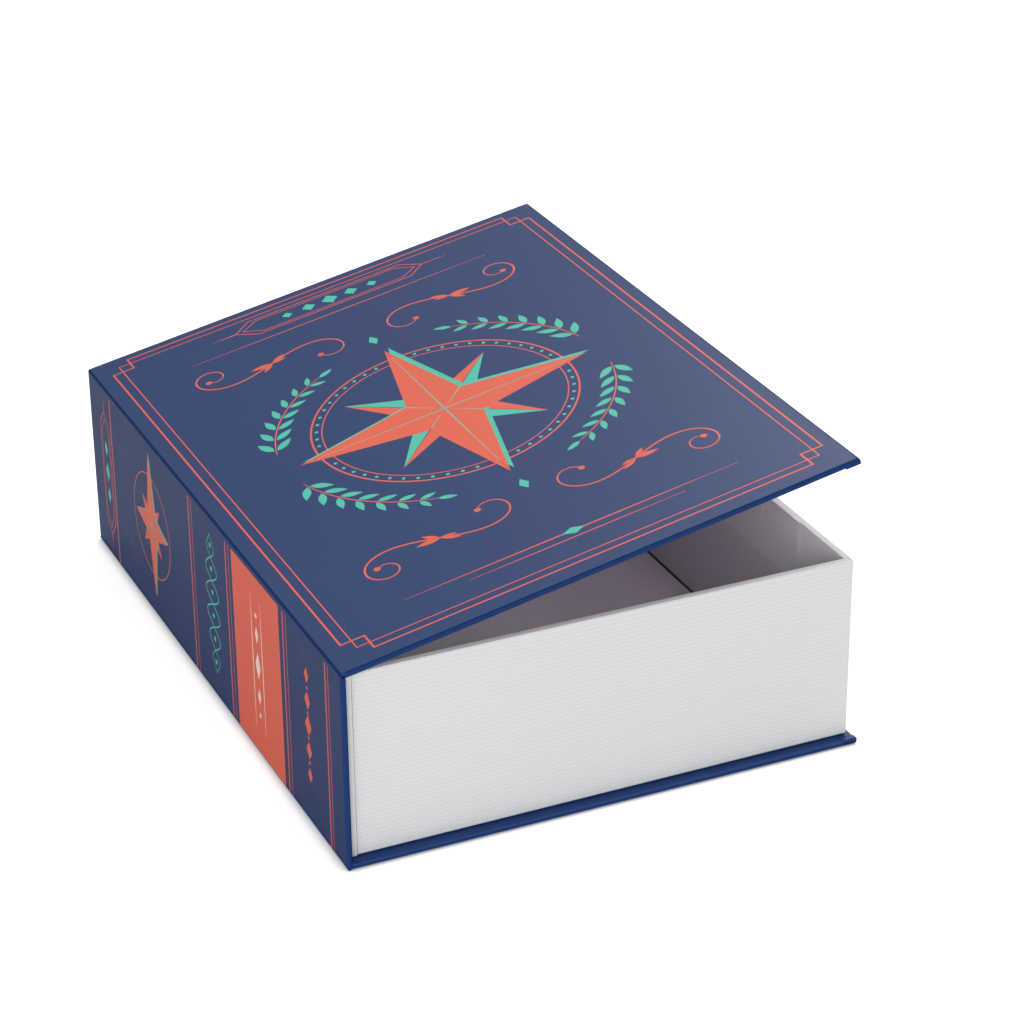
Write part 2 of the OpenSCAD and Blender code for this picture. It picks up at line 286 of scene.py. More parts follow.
def copy_of(node, name, turn=None):
    """A merged copy of a CAD node's mesh, as an object of its own, turned by a matrix if one is given."""
    obj = bpy.data.objects.new(name, frame["nodes"][node].data.copy())
    obj.data.name = name
    obj.data.materials.clear()
    bpy.context.scene.collection.objects.link(obj)
    if turn is not None:
        obj.matrix_world = turn
        settle(obj)
    return merged(obj)


def join(parts, name):
    """Joins objects into one of that name."""
    only(parts[0])
    for part in parts[1:]:
        part.select_set(True)
    if len(parts) > 1:
        bpy.ops.object.join()
    parts[0].name = name
    parts[0].data.name = name
    return parts[0]


def bevel_edges(obj, width, segments, test):
    choose(obj, "edges", test)
    bpy.ops.mesh.bevel(offset=width, offset_type="ABSOLUTE", segments=segments, profile=0.5, affect="EDGES",
                       clamp_overlap=False)
    close_edit()


def apply_modifiers(obj):
    only(obj)
    for modifier in list(obj.modifiers):
        bpy.ops.object.modifier_apply(modifier=modifier.name)
    return obj


def smooth(obj, degrees):
    """Shades a mesh smooth over edges of less than an angle, with its large faces kept flat."""
    only(obj)
    bpy.ops.object.shade_smooth()
    choose(obj, "edges", every)
    bpy.ops.mesh.mark_sharp(clear=True)
    bpy.ops.mesh.select_all(action="DESELECT")
    bpy.ops.mesh.edges_select_sharp(sharpness=math.radians(degrees))
    bpy.ops.mesh.mark_sharp()
    close_edit()
    modifier = obj.modifiers.new("Flat faces", "WEIGHTED_NORMAL")
    modifier.keep_sharp = True
    return apply_modifiers(obj)


def recalculate(obj, outward=None):
    """Makes the faces of a mesh agree. If outward is given, they are all turned over if the first one faces
    away from that direction."""
    choose(obj, "polygons", every)
    bpy.ops.mesh.normals_make_consistent(inside=False)
    close_edit()
    if outward is not None and obj.data.polygons[0].normal.dot(Vector(outward)) < 0:
        choose(obj, "polygons", every)
        bpy.ops.mesh.flip_normals()
        close_edit()
    return obj


def cut_away(obj, place, normal):
    """Cuts off the part of a mesh that lies beyond a plane, and closes it."""
    choose(obj, "vertices", every)
    bpy.ops.mesh.bisect(plane_co=place, plane_no=normal, use_fill=True, clear_outer=True,
                        threshold=0.1 * NEAR)
    close_edit()
    return merged(obj)


def shift(obj, test, move):
    """Moves those vertices of obj whose place test is true for."""
    choose(obj, "vertices", lambda v: test(v.co))
    bpy.ops.transform.translate(value=move)
    close_edit()


def upright_at(obj, edge, reach_y):
    """Whether an edge stands upright at the head or the tail."""
    a, b = ends(obj, edge)
    return abs(a.z - b.z) > MM and all(abs(abs(p.y) - reach_y) < NEAR for p in (a, b))


def round_outline(obj, radius, reach_x, reach_y, levels, more=None):
    """Rounds the edges of a board or its paper where they lie at the given heights on its outline, its two
    fore-edge corners, and the edges that the test more is true for."""

    def on_side(a, b):
        return abs(a.y - b.y) < NEAR and abs(abs(a.y) - reach_y) < NEAR or (
            abs(a.x - b.x) < NEAR and abs(a.x - reach_x) < NEAR)

    def folded(edge):
        a, b = ends(obj, edge)
        level = any(all(abs(p.z - height) < 2 * NEAR for p in (a, b)) for height in levels)
        corner = upright_at(obj, edge, reach_y) and all(abs(p.x - reach_x) < NEAR for p in (a, b))
        return on_side(a, b) and (level or corner) or (more is not None and more(edge))

    bevel_edges(obj, radius, 4, folded)


def prism(name, outline, low, high):
    """A solid bar along Y whose section is an outline of (x, z) points."""
    obj = disc(len(outline), MM)
    obj.name = obj.data.name = name
    for vertex, (x, z) in zip(obj.data.vertices, outline):
        vertex.co = (x, low, z)
    choose(obj, "vertices", every)
    bpy.ops.mesh.extrude_region_move(TRANSFORM_OT_translate={"value": (0, high - low, 0)})
    close_edit()
    return recalculate(obj)


# Node groups shared by the materials

def new_group(name, inputs, outputs):
    """An empty shader node group. Inputs are (name, default), and outputs are names."""
    group = bpy.data.node_groups.new(name, "ShaderNodeTree")
    for label, default in inputs:
        socket = group.interface.new_socket(name=label, in_out="INPUT", socket_type="NodeSocketFloat")
        socket.default_value = default
    for label in outputs:
        group.interface.new_socket(name=label, in_out="OUTPUT", socket_type="NodeSocketFloat")
    return group, group.nodes.new("NodeGroupInput").outputs, group.nodes.new("NodeGroupOutput").inputs


def add(tree, kind, settings=None, **inputs):
    """Adds a node. A plain input value is set on its socket, and an output socket is linked to it. An input
    is named by its label, or by n and its number."""
    node = tree.nodes.new(kind)
    for key, value in (settings or {}).items():
        setattr(node, key, value)
    for key, value in inputs.items():
        name = key.replace("_", " ")
        socket = node.inputs[int(name[1:])] if name[0] == "n" and name[1:].isdigit() else node.inputs[name]
        if isinstance(value, bpy.types.NodeSocket):
            tree.links.new(value, socket)
        else:
            socket.default_value = value
    return node


def maths(tree, operation, a, b=0.5, c=0.5):
    return add(tree, "ShaderNodeMath", {"operation": operation}, n0=a, n1=b, n2=c).outputs[0]


def ramp(tree, value, low, high):
    """A smooth step of value from low to high, as a mask from 0 to 1."""
    return add(tree, "ShaderNodeMapRange", {"interpolation_type": "SMOOTHSTEP"},
               Value=value, From_Min=low, From_Max=high).outputs[0]


def mixed(tree, mask, first, second, blend="MIX"):
    """A mix of two colours, each a socket or a plain colour, by a mask."""
    first, second = ((*c, 1.0) if isinstance(c, tuple) else c for c in (first, second))
    return add(tree, "ShaderNodeMix", {"data_type": "RGBA", "blend_type": blend},
               n0=mask, n6=first, n7=second).outputs[2]


def object_place(tree, scale=(1.0, 1.0, 1.0), turn=(0.0, 0.0, 0.0)):
    place = add(tree, "ShaderNodeTexCoord").outputs["Object"]
    return add(tree, "ShaderNodeMapping", Vector=place, Scale=scale, Rotation=turn).outputs[0]


def object_height(tree):
    return add(tree, "ShaderNodeSeparateXYZ", Vector=object_place(tree)).outputs["Z"]


def noise(tree, vector, scale, detail=2.0, roughness=0.5):
    return add(tree, "ShaderNodeTexNoise", Vector=vector, Scale=scale, Detail=detail,
               Roughness=roughness).outputs["Fac"]


def make_paper_fibre():
    """Felted fibres of paper and board: a fine tooth, a cloudy tone and stray darker fibres."""
    group, given, out = new_group("Paper fibre", (("Scale", 1.0), ("Stretch", 0.0)),
                                  ("Tone", "Height", "Fibres"))

    def scaled(size):
        return maths(group, "MULTIPLY", given["Scale"], size)

    place = object_place(group)
    fine = noise(group, place, scaled(2600.0), 3.0, 0.6)
    cloud = noise(group, place, scaled(240.0), 3.0, 0.55)
    lay = noise(group, object_place(group, (0.25, 1.0, 1.0)), scaled(1500.0), 2.0)
    fibre = noise(group, object_place(group, (1.0, 0.12, 0.5), (0.4, 0.2, 0.7)), scaled(2100.0), 1.0)
    tooth = add(group, "ShaderNodeMix", {"data_type": "FLOAT"}, n0=given["Stretch"], n2=fine, n3=lay)
    group.links.new(cloud, out["Tone"])
    group.links.new(tooth.outputs[0], out["Height"])
    group.links.new(ramp(group, fibre, 0.66, 0.74), out["Fibres"])
    return group


def make_film():
    """Matt film laminated over print: the paper's grain under it, slow ripples, and rubbed patches."""
    group, given, out = new_group("Laminated film", (("Grain", 0.3), ("Ripple", 1.0)),
                                  ("Height", "Rubbed", "Tone"))
    place = object_place(group)
    grain = noise(group, object_place(group, (0.45, 1.0, 1.0)), 1900.0, 2.0, 0.6)
    ripple = noise(group, place, 38.0, 2.0, 0.45)
    dents = noise(group, place, 210.0, 1.0, 0.4)
    height = maths(group, "MULTIPLY", grain, given["Grain"])
    height = maths(group, "MULTIPLY_ADD", ripple, given["Ripple"], height)
    height = maths(group, "MULTIPLY_ADD", dents, 0.25, height)
    rub = noise(group, object_place(group, (1.0, 0.35, 1.0), (0.0, 0.0, 0.6)), 95.0, 4.0, 0.62)
    group.links.new(height, out["Height"])
    group.links.new(ramp(group, rub, 0.52, 0.78), out["Rubbed"])
    group.links.new(noise(group, place, 22.0, 3.0, 0.5), out["Tone"])
    return group


def make_page_lines():
    """Page lines: painted shade in their grooves, and small differences from one to the next."""
    group, given, out = new_group("Page lines", (("Amount", 0.01), ("Shade", 0.05), ("Start", 0.0)),
                                  ("Tone", "Height"))
    along = noise(group, object_place(group, (0.035, 0.035, 1.0)), 620.0, 2.0, 0.5)
    patch = noise(group, object_place(group, (0.5, 0.5, 1.0)), 46.0, 2.0, 0.5)
    swing = maths(group, "SUBTRACT", maths(group, "ADD", along, patch), 1.0)
    uneven = maths(group, "MULTIPLY", swing, given["Amount"])
    count = maths(group, "DIVIDE", maths(group, "SUBTRACT", object_height(group), given["Start"]), LINE_PITCH)
    part = maths(group, "FRACT", maths(group, "ADD", count, 0.5))
    from_groove = maths(group, "ABSOLUTE", maths(group, "SUBTRACT", part, 0.5))
    ridge = ramp(group, from_groove, 0.06, 0.21)
    shade = maths(group, "MULTIPLY", maths(group, "SUBTRACT", ridge, 1.0), given["Shade"])
    group.links.new(maths(group, "ADD", uneven, shade), out["Tone"])
    group.links.new(maths(group, "MULTIPLY", along, given["Amount"]), out["Height"])
    return group


GROUPS = {}


def use_group(tree, maker, **values):
    """Places the node group that maker makes, which is made at its first use, and returns its outputs."""
    if maker not in GROUPS:
        GROUPS[maker] = maker()
    node = tree.nodes.new("ShaderNodeGroup")
    node.node_tree = GROUPS[maker]
    for name, value in values.items():
        node.inputs[name].default_value = value
    return node.outputs


# Materials

def new_material(name):
    """A material with an empty Principled BSDF, its node tree and that shader."""
    material = bpy.data.materials.new(name)
    material.use_nodes = True
    tree = material.node_tree
    return material, tree, tree.nodes["Principled BSDF"]


def shade_of(colour, factor):
    return tuple(min(1.0, c * factor) for c in colour)


def surface(tree, shader, colour, rough, height, strength, distance):
    """Links a colour, a roughness and a height to a shader, the height through a bump."""
    tree.links.new(colour, shader.inputs["Base Color"])
    tree.links.new(rough, shader.inputs["Roughness"])
    bump = add(tree, "ShaderNodeBump", Height=height, Strength=strength, Distance=distance)
    tree.links.new(bump.outputs[0], shader.inputs["Normal"])


def film_material(name, colour, grain=0.28, shine=0.5):
    """Print under matt film, in one ink."""
    material, tree, shader = new_material(name)
    film = use_group(tree, make_film, Grain=grain, Ripple=1.0)
    tone = mixed(tree, film["Tone"], shade_of(colour, 0.95), shade_of(colour, 1.05))
    rough = maths(tree, "MULTIPLY_ADD", film["Rubbed"], -0.06, 0.43)
    surface(tree, shader, tone, rough, film["Height"], 0.5, 0.03 * MM)
    shader.inputs["IOR"].default_value = 1.46
    shader.inputs["Specular IOR Level"].default_value = shine
    return material


def paper_material(name, colour, tone=0.05, fibres=0.0, scale=1.0, stretch=0.0, roughness=0.85,
                   bump=0.03 * MM, groove=None, foot=None):
    """Uncoated paper or board. It can have page lines with painted shade in their grooves, of which one lies
    at the height groove, or painted shade at its foot, dark up to the height foot and fading out over 0.5 mm
    above it."""
    material, tree, shader = new_material(name)
    fibre = use_group(tree, make_paper_fibre, Scale=scale, Stretch=stretch)
    value = mixed(tree, fibre["Tone"], shade_of(colour, 1.0 - tone), shade_of(colour, 1.0 + tone))
    height = fibre["Height"]
    if fibres:
        value = mixed(tree, maths(tree, "MULTIPLY", fibre["Fibres"], fibres), value, shade_of(colour, 0.55))
    if groove is not None:
        # The page lines' tone darkens their grooves with painted shade.
        lines = use_group(tree, make_page_lines, Amount=0.012, Shade=0.065, Start=groove)
        value = mixed(tree, 1.0, value, maths(tree, "ADD", lines["Tone"], 1.0), "MULTIPLY")
        height = maths(tree, "ADD", height, lines["Height"])
    # Painted shade at the foot, where the gap round the floor panel lies.
    if foot is not None:
        above = ramp(tree, object_height(tree), foot, foot + 0.5 * MM)
        value = mixed(tree, above, shade_of(colour, 0.12), value)
    rough = maths(tree, "MULTIPLY_ADD", fibre["Tone"], 0.08, roughness - 0.04)
    surface(tree, shader, value, rough, height, 0.6, bump)
    shader.inputs["IOR"].default_value = 1.4
    return material


def metal_material(name, colour, roughness, streak):
    """Cold rolled or plated steel with fine rolling marks."""
    material, tree, shader = new_material(name)
    marks = noise(tree, object_place(tree, streak), 900.0, 3.0, 0.6)
    spots = noise(tree, object_place(tree), 160.0, 2.0, 0.5)
    tone = mixed(tree, spots, shade_of(colour, 0.88), shade_of(colour, 1.06))
    rough = maths(tree, "MULTIPLY_ADD", marks, 0.2, roughness - 0.1)
    surface(tree, shader, tone, rough, marks, 0.3, 0.01 * MM)
    shader.inputs["Metallic"].default_value = 1.0
    return material


# Each finish: how it is made, its colour in the settings, what that is multiplied by, and its own values.
FINISHES = {
    "Navy print": (film_material, "navy", 1.0, {}),
    # Edges, turn-ins and folds: the same navy with less shine, painted a little lighter than the faces.
    "Folded navy print": (film_material, "navy", 1.12, {"shine": 0.16}),
    # Painted shade on roundings of the front cover's and spine's papers, on the upper joint's bend and on its
    # end webs.
    "Creased navy print": (film_material, "navy", 0.8, {"shine": 0.05}),
    "Lit navy print": (film_material, "navy", 1.5, {"shine": 0.6}),
    "Coral print": (film_material, "coral", 1.0, {"grain": 0.2}),
    "Teal print": (film_material, "teal", 1.0, {"grain": 0.2}),
    "Cream print": (film_material, "cream", 1.0, {"grain": 0.2}),
    "Ribbed page paper": (
        paper_material, "page", 1.0, {"tone": 0.01, "roughness": 0.8, "groove": OUTER_GROOVE}),
    # Inside the tray: the page paper with painted shade.
    "Turned-in page paper": (
        paper_material, "turned_page_with_painted_shade", 1.0, {"tone": 0.01, "roughness": 0.8, "groove": INNER_GROOVE}),
    # The rim's top: the page paper with painted light.
    "Rim page paper": (paper_material, "page", 1.25, {"tone": 0.01, "roughness": 0.8}),
    # The plain strip beside the spine: painted light against the shade it lies in.
    "Side page paper": (paper_material, "page", 1.16, {"tone": 0.015, "roughness": 0.8}),
    # The one lining paper in lit and shaded copies: painted shade on the walls, painted light on the floor.
    "Wall lining paper": (
        paper_material, "lining", 0.92, {"tone": 0.03, "fibres": 0.12, "roughness": 0.82, "foot": PANEL_TOP}),
    "Floor lining paper": (paper_material, "lining", 1.12, {"tone": 0.035, "fibres": 0.12}),
    "Cover lining paper": (paper_material, "lining", 1.02, {"tone": 0.03, "fibres": 0.12}),
    "Greyboard": (
        paper_material, "board", 1.0,
        {"tone": 0.12, "fibres": 0.6, "scale": 0.5, "stretch": 0.6, "roughness": 0.92, "bump": 0.06 * MM}),
    "Gummed paper": (
        paper_material, "gummed", 1.0,
        {"tone": 0.06, "fibres": 0.3, "scale": 0.8, "stretch": 0.8, "roughness": 0.6}),
    "Steel plate": (metal_material, "steel", 1.0, {"roughness": 0.38, "streak": (0.05, 1.0, 1.0)}),
    "Nickel plate": (metal_material, "nickel", 1.0, {"roughness": 0.22, "streak": (1.0, 1.0, 0.2)}),
}


def material_for(key):
    """The material of a finish, made at its first use."""
    if key in bpy.data.materials:
        return bpy.data.materials[key]
    make, colour, factor, values = FINISHES[key]
    return make(key, shade_of(getattr(bpy.context.scene.book_box_finish, colour), factor), **values)


def dress(obj, *keys):
    """Gives a piece its materials. Its faces have the first of them."""
    obj.data.materials.clear()
    for key in keys:
        obj.data.materials.append(material_for(key))
    return obj


def dress_node(node, key):
    """Gives a CAD node that stays in view its finish."""
    for place in frame["nodes"][node].material_slots:
        place.material = material_for(key)


def ride(obj, slot, body, *nodes):
    """Hides the CAD nodes that a piece stands for, and parents the piece to an empty for the body it rides on.
    The slot is not used.
    """
    if nodes:
        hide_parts(*nodes)
    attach(obj, body)


def open_out(obj):
    """Turns a piece that is drawn on the closed front cover to the open one."""
    obj.matrix_world = OPEN
    return settle(obj)


# Art on a flat sheet, drawn at the height 0 and then laid on a cover or the spine

def thicken(obj, depth):
    """Gives a flat piece of print its thin body, under its face."""
    modifier = obj.modifiers.new("Ink", "SOLIDIFY")
    modifier.thickness = depth
    modifier.offset = -1.0
    return apply_modifiers(obj)


def face_up(obj):
    return recalculate(obj, (0, 0, 1))


def flat_shape(points):
    """A filled flat shape through the given (x, y) points."""
    obj = disc(len(points), MM)
    for vertex, (x, y) in zip(obj.data.vertices, points):
        vertex.co = (x, y, 0.0)
    return face_up(obj)


def lozenge(x, y, half_x, half_y):
    return flat_shape([(x + half_x, y), (x, y + half_y), (x - half_x, y), (x, y - half_y)])


def dot(x, y, radius, vertices=20):
    return face_up(settle(disc(vertices, radius, (x, y, 0.0))))


def border(obj, width):
    """Leaves only the border of a flat shape."""
    choose(obj, "polygons", every)
    bpy.ops.mesh.inset(thickness=width, depth=0, use_even_offset=True)
    bpy.ops.mesh.delete(type="FACE")
    close_edit()
    return obj


def ring(x, y, radius, width):
    """A thin flat ring."""
    return border(dot(x, y, radius + width / 2, 96), width)


def outline(points, width):
    """A closed line of a given width along the inner side of a polygon."""
    return border(flat_shape(points), width)


def stroke(points, widths, rise=0.004 * MM):
    """A flat pen stroke along (x, y) points, as wide at each as widths says. It rises a little along its way,
    so that it can cross itself."""
    only_nothing()
    bpy.ops.curve.primitive_nurbs_path_add()
    obj = bpy.context.object
    curve = obj.data
    curve.splines.clear()
    curve.dimensions = "3D"
    curve.twist_mode = "Z_UP"
    curve.extrude = 0.5 * MM
    line = curve.splines.new("POLY")
    line.points.add(len(points) - 1)
    for index, (point, (x, y), width) in enumerate(zip(line.points, points, widths)):
        point.co = (x, y, rise * index / len(points), 1.0)
        point.radius = width / MM
        point.tilt = math.pi / 2
    only(obj)
    bpy.ops.object.convert(target="MESH")
    return face_up(bpy.context.object)


def direction(angle):
    return Vector((math.cos(angle), math.sin(angle)))


def curl_points(middle, angle, lengths, curls, step=0.8 * MM):
    """Points of a double scroll: straight at its middle, and curving more and more towards both its ends.

    lengths are the two arms, and curls the curvatures at their tips, in radians per metre."""
    arms = []
    for side, (length, curl) in enumerate(zip(lengths, curls)):
        x, y = middle
        heading = angle + math.pi * side
        count = max(8, round(length / step))
        arm = []
        for index in range(count):
            travelled = (index + 0.5) / count
            heading += curl * travelled ** 1.35 * length / count
            x += math.cos(heading) * length / count
            y += math.sin(heading) * length / count
            arm.append((x, y))
        arms.append(arm)
    return list(reversed(arms[1])) + [tuple(middle)] + arms[0]


def swell(count, thin, wide):
    """Widths of a pen stroke: thin at its ends and wide between them."""
    return [thin + (wide - thin) * math.sin(math.pi * i / (count - 1)) ** 0.6 for i in range(count)]


def tapered_rule(x0, y0, x1, y1, width):
    """A straight rule that swells to its middle and runs out to points."""
    last = 40
    points = [(x0 + (x1 - x0) * i / last, y0 + (y1 - y0) * i / last) for i in range(last + 1)]
    widths = [max(0.2 * MM, width * math.sin(math.pi * i / last) ** 0.8) for i in range(last + 1)]
    return stroke(points, widths)


def leaf(x, y, angle, length, width):
    """A pointed leaf that grows from (x, y)."""
    count = 7
    along = direction(angle)
    across = Vector((-along.y, along.x))
    side = [(length * i / count, width / 2 * math.sin(math.pi * (i / count) ** 0.85))
            for i in range(1, count)]
    rim = [(0.0, 0.0)] + side + [(length, 0.0)] + [(u, -v) for u, v in reversed(side)]
    return flat_shape([tuple(Vector((x, y)) + along * u + across * v) for u, v in rim])


def star_half(x, y, angle, length, shoulder, turn, side, gap):
    """One half of a star's point: a triangle from the star's middle over its shoulder to its tip."""
    middle = Vector((x, y))
    along = direction(angle)
    across = Vector((-along.y, along.x)) * side
    corner = middle + direction(angle + side * turn) * shoulder
    corner -= (corner - middle).normalized().orthogonal() * side * gap / 2
    inner = middle + across * gap / 2 + along * gap / 2 / math.tan(turn)
    tip = middle + along * length + across * 0.1 * gap
    return flat_shape([tuple(inner), tuple(corner), tuple(tip)])


def star(x, y, lengths, shoulder, start=0.0, gap=0.0, sides=(1, -1)):
    """The half points of a star whose points are as long as lengths says, in turn."""
    step = 2 * math.pi / len(lengths)
    return [star_half(x, y, start + step * index, length, shoulder, step / 2, side, gap)
            for index, length in enumerate(lengths) for side in sides]


def scroll_pair(middle, angle, lengths, curls, width, ball, centre_x):
    """A scroll and its mirror image over the line x = centre_x, each with balls at its tips."""
    shapes = []
    curl = curl_points(middle, angle, lengths, curls)
    for mirror in (1, -1):
        points = [(centre_x + mirror * (x - centre_x), y) for x, y in curl]
        shapes.append(stroke(points, swell(len(points), width * 0.45, width)))
        shapes += [dot(x, y, ball) for x, y in (points[0], points[-1])]
    return shapes


def plaque_shapes(x, y, half_x, half_y, tail, art, upright):
    """A long six-sided plaque of two lines, with a tapered line running out of each end."""
    def place(u, v):
        return (x + v, y + u) if upright else (x + u, y + v)

    shapes = []
    tip = half_y * 1.15
    for inset, width in ((0.0, art.thin_rule), (1.5 * MM, 0.8 * art.thin_rule)):
        a, b = half_x - 2 * inset, half_y - inset
        points = [(a, 0), (a - tip, b), (-a + tip, b), (-a, 0), (-a + tip, -b), (a - tip, -b)]
        shapes.append(outline([place(u, v) for u, v in points], width))
    for side in (1, -1):
        line = [place(side * (half_x + part * tail), 0) for part in (0, 0.5, 1)]
        shapes.append(stroke(line, [art.wide_rule, 0.6 * art.wide_rule, 0.08 * MM]))
    return shapes


def finish_art(parts, name, depth, level, lay, key, body):
    """Joins flat art into one piece, gives it its thin body, and lays it on the box. The depth and the level
    are parts of the ink lift."""
    lift = bpy.context.scene.book_box_print.lift
    art = thicken(join(parts, name), depth * lift)
    art.matrix_world = lay @ Matrix.Translation((0.0, 0.0, level * lift))
    dress(settle(art), key)
    ride(art, "printed_cover", body)


def cover_art(parts, name, depth, level, key):
    finish_art(parts, name, depth, level, OPEN @ Matrix.Translation((0.0, 0.0, COVER_TOP)), key, COVER)


def spine_art(parts, name, depth, level, key):
    """Finishes art that stands up on the spine: its x runs to the tail, and its y runs up."""
    face = -HALF_WIDTH + bpy.context.scene.book_box_form.spine_inset
    lay = Matrix(((0, 0, -1, face), (-1, 0, 0, 0), (0, 1, 0, 0), (0, 0, 0, 1)))
    finish_art(parts, name, depth, level, lay, key, CASE)


# Operators for the pieces

class BOOKBOX_OT_cover_boards(bpy.types.Operator):
    """Boards of the covers and the spine, their edges pressed round under the paper"""

    bl_idname = "bookbox.cover_boards"
    bl_label = "Cover boards"

    def execute(self, context):
        radius = context.scene.book_box_form.fold_radius - PAPER
        reach = HALF_LENGTH - PAPER
        front = (COVER_TOP - PAPER, COVER_TOP - COVER_THICKNESS + PAPER)
        back = (PAPER, COVER_THICKNESS - PAPER)
        for node, name, body, turn, levels in (
                ("front_board", "front_cover_board", COVER, CLOSE, front),
                ("back_board", "back_cover_board", CASE, None, back),
                ("spine_board", "spine_cover_board", CASE, None, ())):
            board = copy_of(node, name, turn)
            if levels:
                round_outline(board, radius, HALF_WIDTH - PAPER, reach, levels)
            else:
                bevel_edges(board, radius, 4, lambda e: upright_at(board, e, reach))
            if turn is not None:
                open_out(board)
            smooth(board, ROUNDING)
            dress(board, "Greyboard")
            ride(board, "greyboard", body, node)
        return {"FINISHED"}


class BOOKBOX_OT_cover_papers(bpy.types.Operator):
    """Printed paper over the front cover, the spine and the back cover, rounded over the boards' edges"""

    bl_idname = "bookbox.cover_papers"
    bl_label = "Cover papers"

    def execute(self, context):
        form = context.scene.book_box_form
        self.front(form)
        self.spine(form)
        self.back(form)
        self.corner_folds()
        return {"FINISHED"}

    def front(self, form):
        paper = copy_of("front_cover_wrap", "front_cover_paper", CLOSE)
        cut_away(paper, (COVER_BOARD_START, 0, COVER_TOP), (-1, 0, 0))
        self.round_paper(paper, form, COVER_TOP - COVER_THICKNESS, COVER_TOP)
        self.finish(open_out(paper), "front_cover_wrap", COVER, "Creased navy print",
                    lambda normal: normal.dot(COVER_UP) > FLAT,
                    lambda normal: 0.75 < abs(normal.dot(COVER_UP)) < FLAT)

    def spine(self, form):
        paper = copy_of("spine_wrap", "spine_paper")
        cut_away(paper, (0, 0, SPINE_BOARD_TOP), (0, 0, 1))
        shift(paper, lambda p: p.x < -HALF_WIDTH + NEAR, (form.spine_inset, 0, 0))
        for depth in (0.0, PAPER):
            bevel_edges(paper, form.fold_radius - depth, 4,
                        lambda e: upright_at(paper, e, HALF_LENGTH - depth))
        self.finish(paper, "spine_wrap", CASE, "Creased navy print",
                    lambda normal: normal.x < -FLAT, lambda normal: 0.3 < normal.x < FLAT)

    def back(self, form):
        paper = copy_of("back_cover_wrap", "back_cover_paper")
        self.sharpen_joint(paper, form)
        step_start = -HALF_WIDTH + COVER_THICKNESS - NEAR
        step_end = COVER_BOARD_START + 0.5 * MM
        shift(paper, lambda p: step_start < p.x < step_end and abs(p.z - LOWER_CORNER) < NEAR,
              (0, 0, COVER_THICKNESS - LOWER_CORNER))
        merged(paper)
        choose(paper, "vertices", every)
        bpy.ops.mesh.bisect(plane_co=(-HALF_WIDTH + LOWER_CORNER, 0, 0), plane_no=(1, 0, 0),
                            threshold=0.1 * NEAR)
        close_edit()
        self.round_paper(paper, form, COVER_THICKNESS, 0.0)
        self.finish(paper, "back_cover_wrap", CASE, "Lit navy print",
                    lambda normal: abs(normal.y) < 0.17 and normal.x < 0.02 and normal.z < 0.02,
                    lambda normal: 0.3 < normal.z < FLAT)

    def sharpen_joint(self, paper, form):
        """Draws the bend between the spine and the back cover in to its real radius."""
        old = Vector((-HALF_WIDTH + LOWER_CORNER, LOWER_CORNER))
        radius = form.lower_radius
        new = Vector((-HALF_WIDTH + form.spine_inset + radius, radius))
        for vertex in paper.data.vertices:
            away = Vector((vertex.co.x, vertex.co.z)) - old
            outside = abs(away.length - LOWER_CORNER) < NEAR
            inside = abs(away.length - LOWER_CORNER + PAPER) < NEAR
            if away.x > NEAR or away.y > NEAR or not (outside or inside):
                continue
            if abs(away.y) < NEAR:
                vertex.co.x += form.spine_inset if outside else 0.0
            elif abs(away.x) > NEAR:
                place = new + away.normalized() * (radius - (0.0 if outside else PAPER))
                vertex.co.x, vertex.co.z = place

    def round_paper(self, paper, form, inner, outer):
        """Rounds a cover's paper over its board's edges, outside and inside."""
        sign = 1 if outer > inner else -1
        left = -HALF_WIDTH + form.spine_inset
        centre = Vector((left + form.lower_radius, form.lower_radius))
        for depth in (0.0, PAPER):

            def on_bend(p):
                if abs(abs(p.y) - HALF_LENGTH + depth) > NEAR or p.x > centre.x or p.z > LOWER_CORNER + NEAR:
                    return False
                from_centre = (Vector((p.x, p.z)) - centre).length
                return p.x < left + depth + NEAR or abs(from_centre - form.lower_radius + depth) < NEAR

            def on_joint(edge):
                return outer < inner and all(on_bend(p) for p in ends(paper, edge))

            round_outline(paper, form.fold_radius - depth, HALF_WIDTH - depth, HALF_LENGTH - depth,
                          (inner + sign * depth, outer - sign * depth), on_joint)

    def corner_folds(self):
        """Doubled paper at the fore-edge corners, where the turned-in sides overlap."""
        length, side, rise, skirt = 5.6 * MM, 2.3 * MM, 0.28 * MM, 0.5 * MM
        start = HALF_WIDTH - length
        under = COVER_TOP - COVER_THICKNESS
        for name, body, low, high in (("back_corner_folds", CASE, skirt, COVER_THICKNESS + rise),
                                      ("front_corner_folds", COVER, under - rise, COVER_TOP - skirt)):
            section = [(start, low), (HALF_WIDTH, low), (HALF_WIDTH, high), (start, high)]
            folds = [prism(name, section, near, near + side) for near in (HALF_LENGTH - side, -HALF_LENGTH)]
            for fold in folds:
                bevel_edges(fold, 0.4 * MM, 3, lambda e: self.outer_edge(fold, e))
            piece = join(folds, name)
            if body == COVER:
                open_out(piece)
            smooth(piece, ROUNDING)
            dress(piece, "Folded navy print")
            ride(piece, "printed_cover", body)

    def outer_edge(self, fold, edge):
        """Whether an edge lies along the outline of the cover."""
        pair = ends(fold, edge)
        at_end = all(abs(abs(p.y) - HALF_LENGTH) < NEAR for p in pair)
        at_fore_edge = all(abs(p.x - HALF_WIDTH) < NEAR for p in pair)
        return at_end or at_fore_edge

    def finish(self, paper, node, body, turn_key, outward, turned):
        """Gives a paper its print: its flat outer side in one finish, its edges and turn-ins in another, with
        less shine and painted light, and those of its rounded parts that the test turned is true for in the
        finish turn_key, which carries painted shade or a painted highlight."""
        smooth(paper, ROUNDING)
        dress(paper, "Folded navy print", "Navy print", turn_key)
        for face in paper.data.polygons:
            if outward(face.normal):
                face.material_index = 1
            elif turned(face.normal):
                face.material_index = 2
        ride(paper, "printed_cover", body, node)


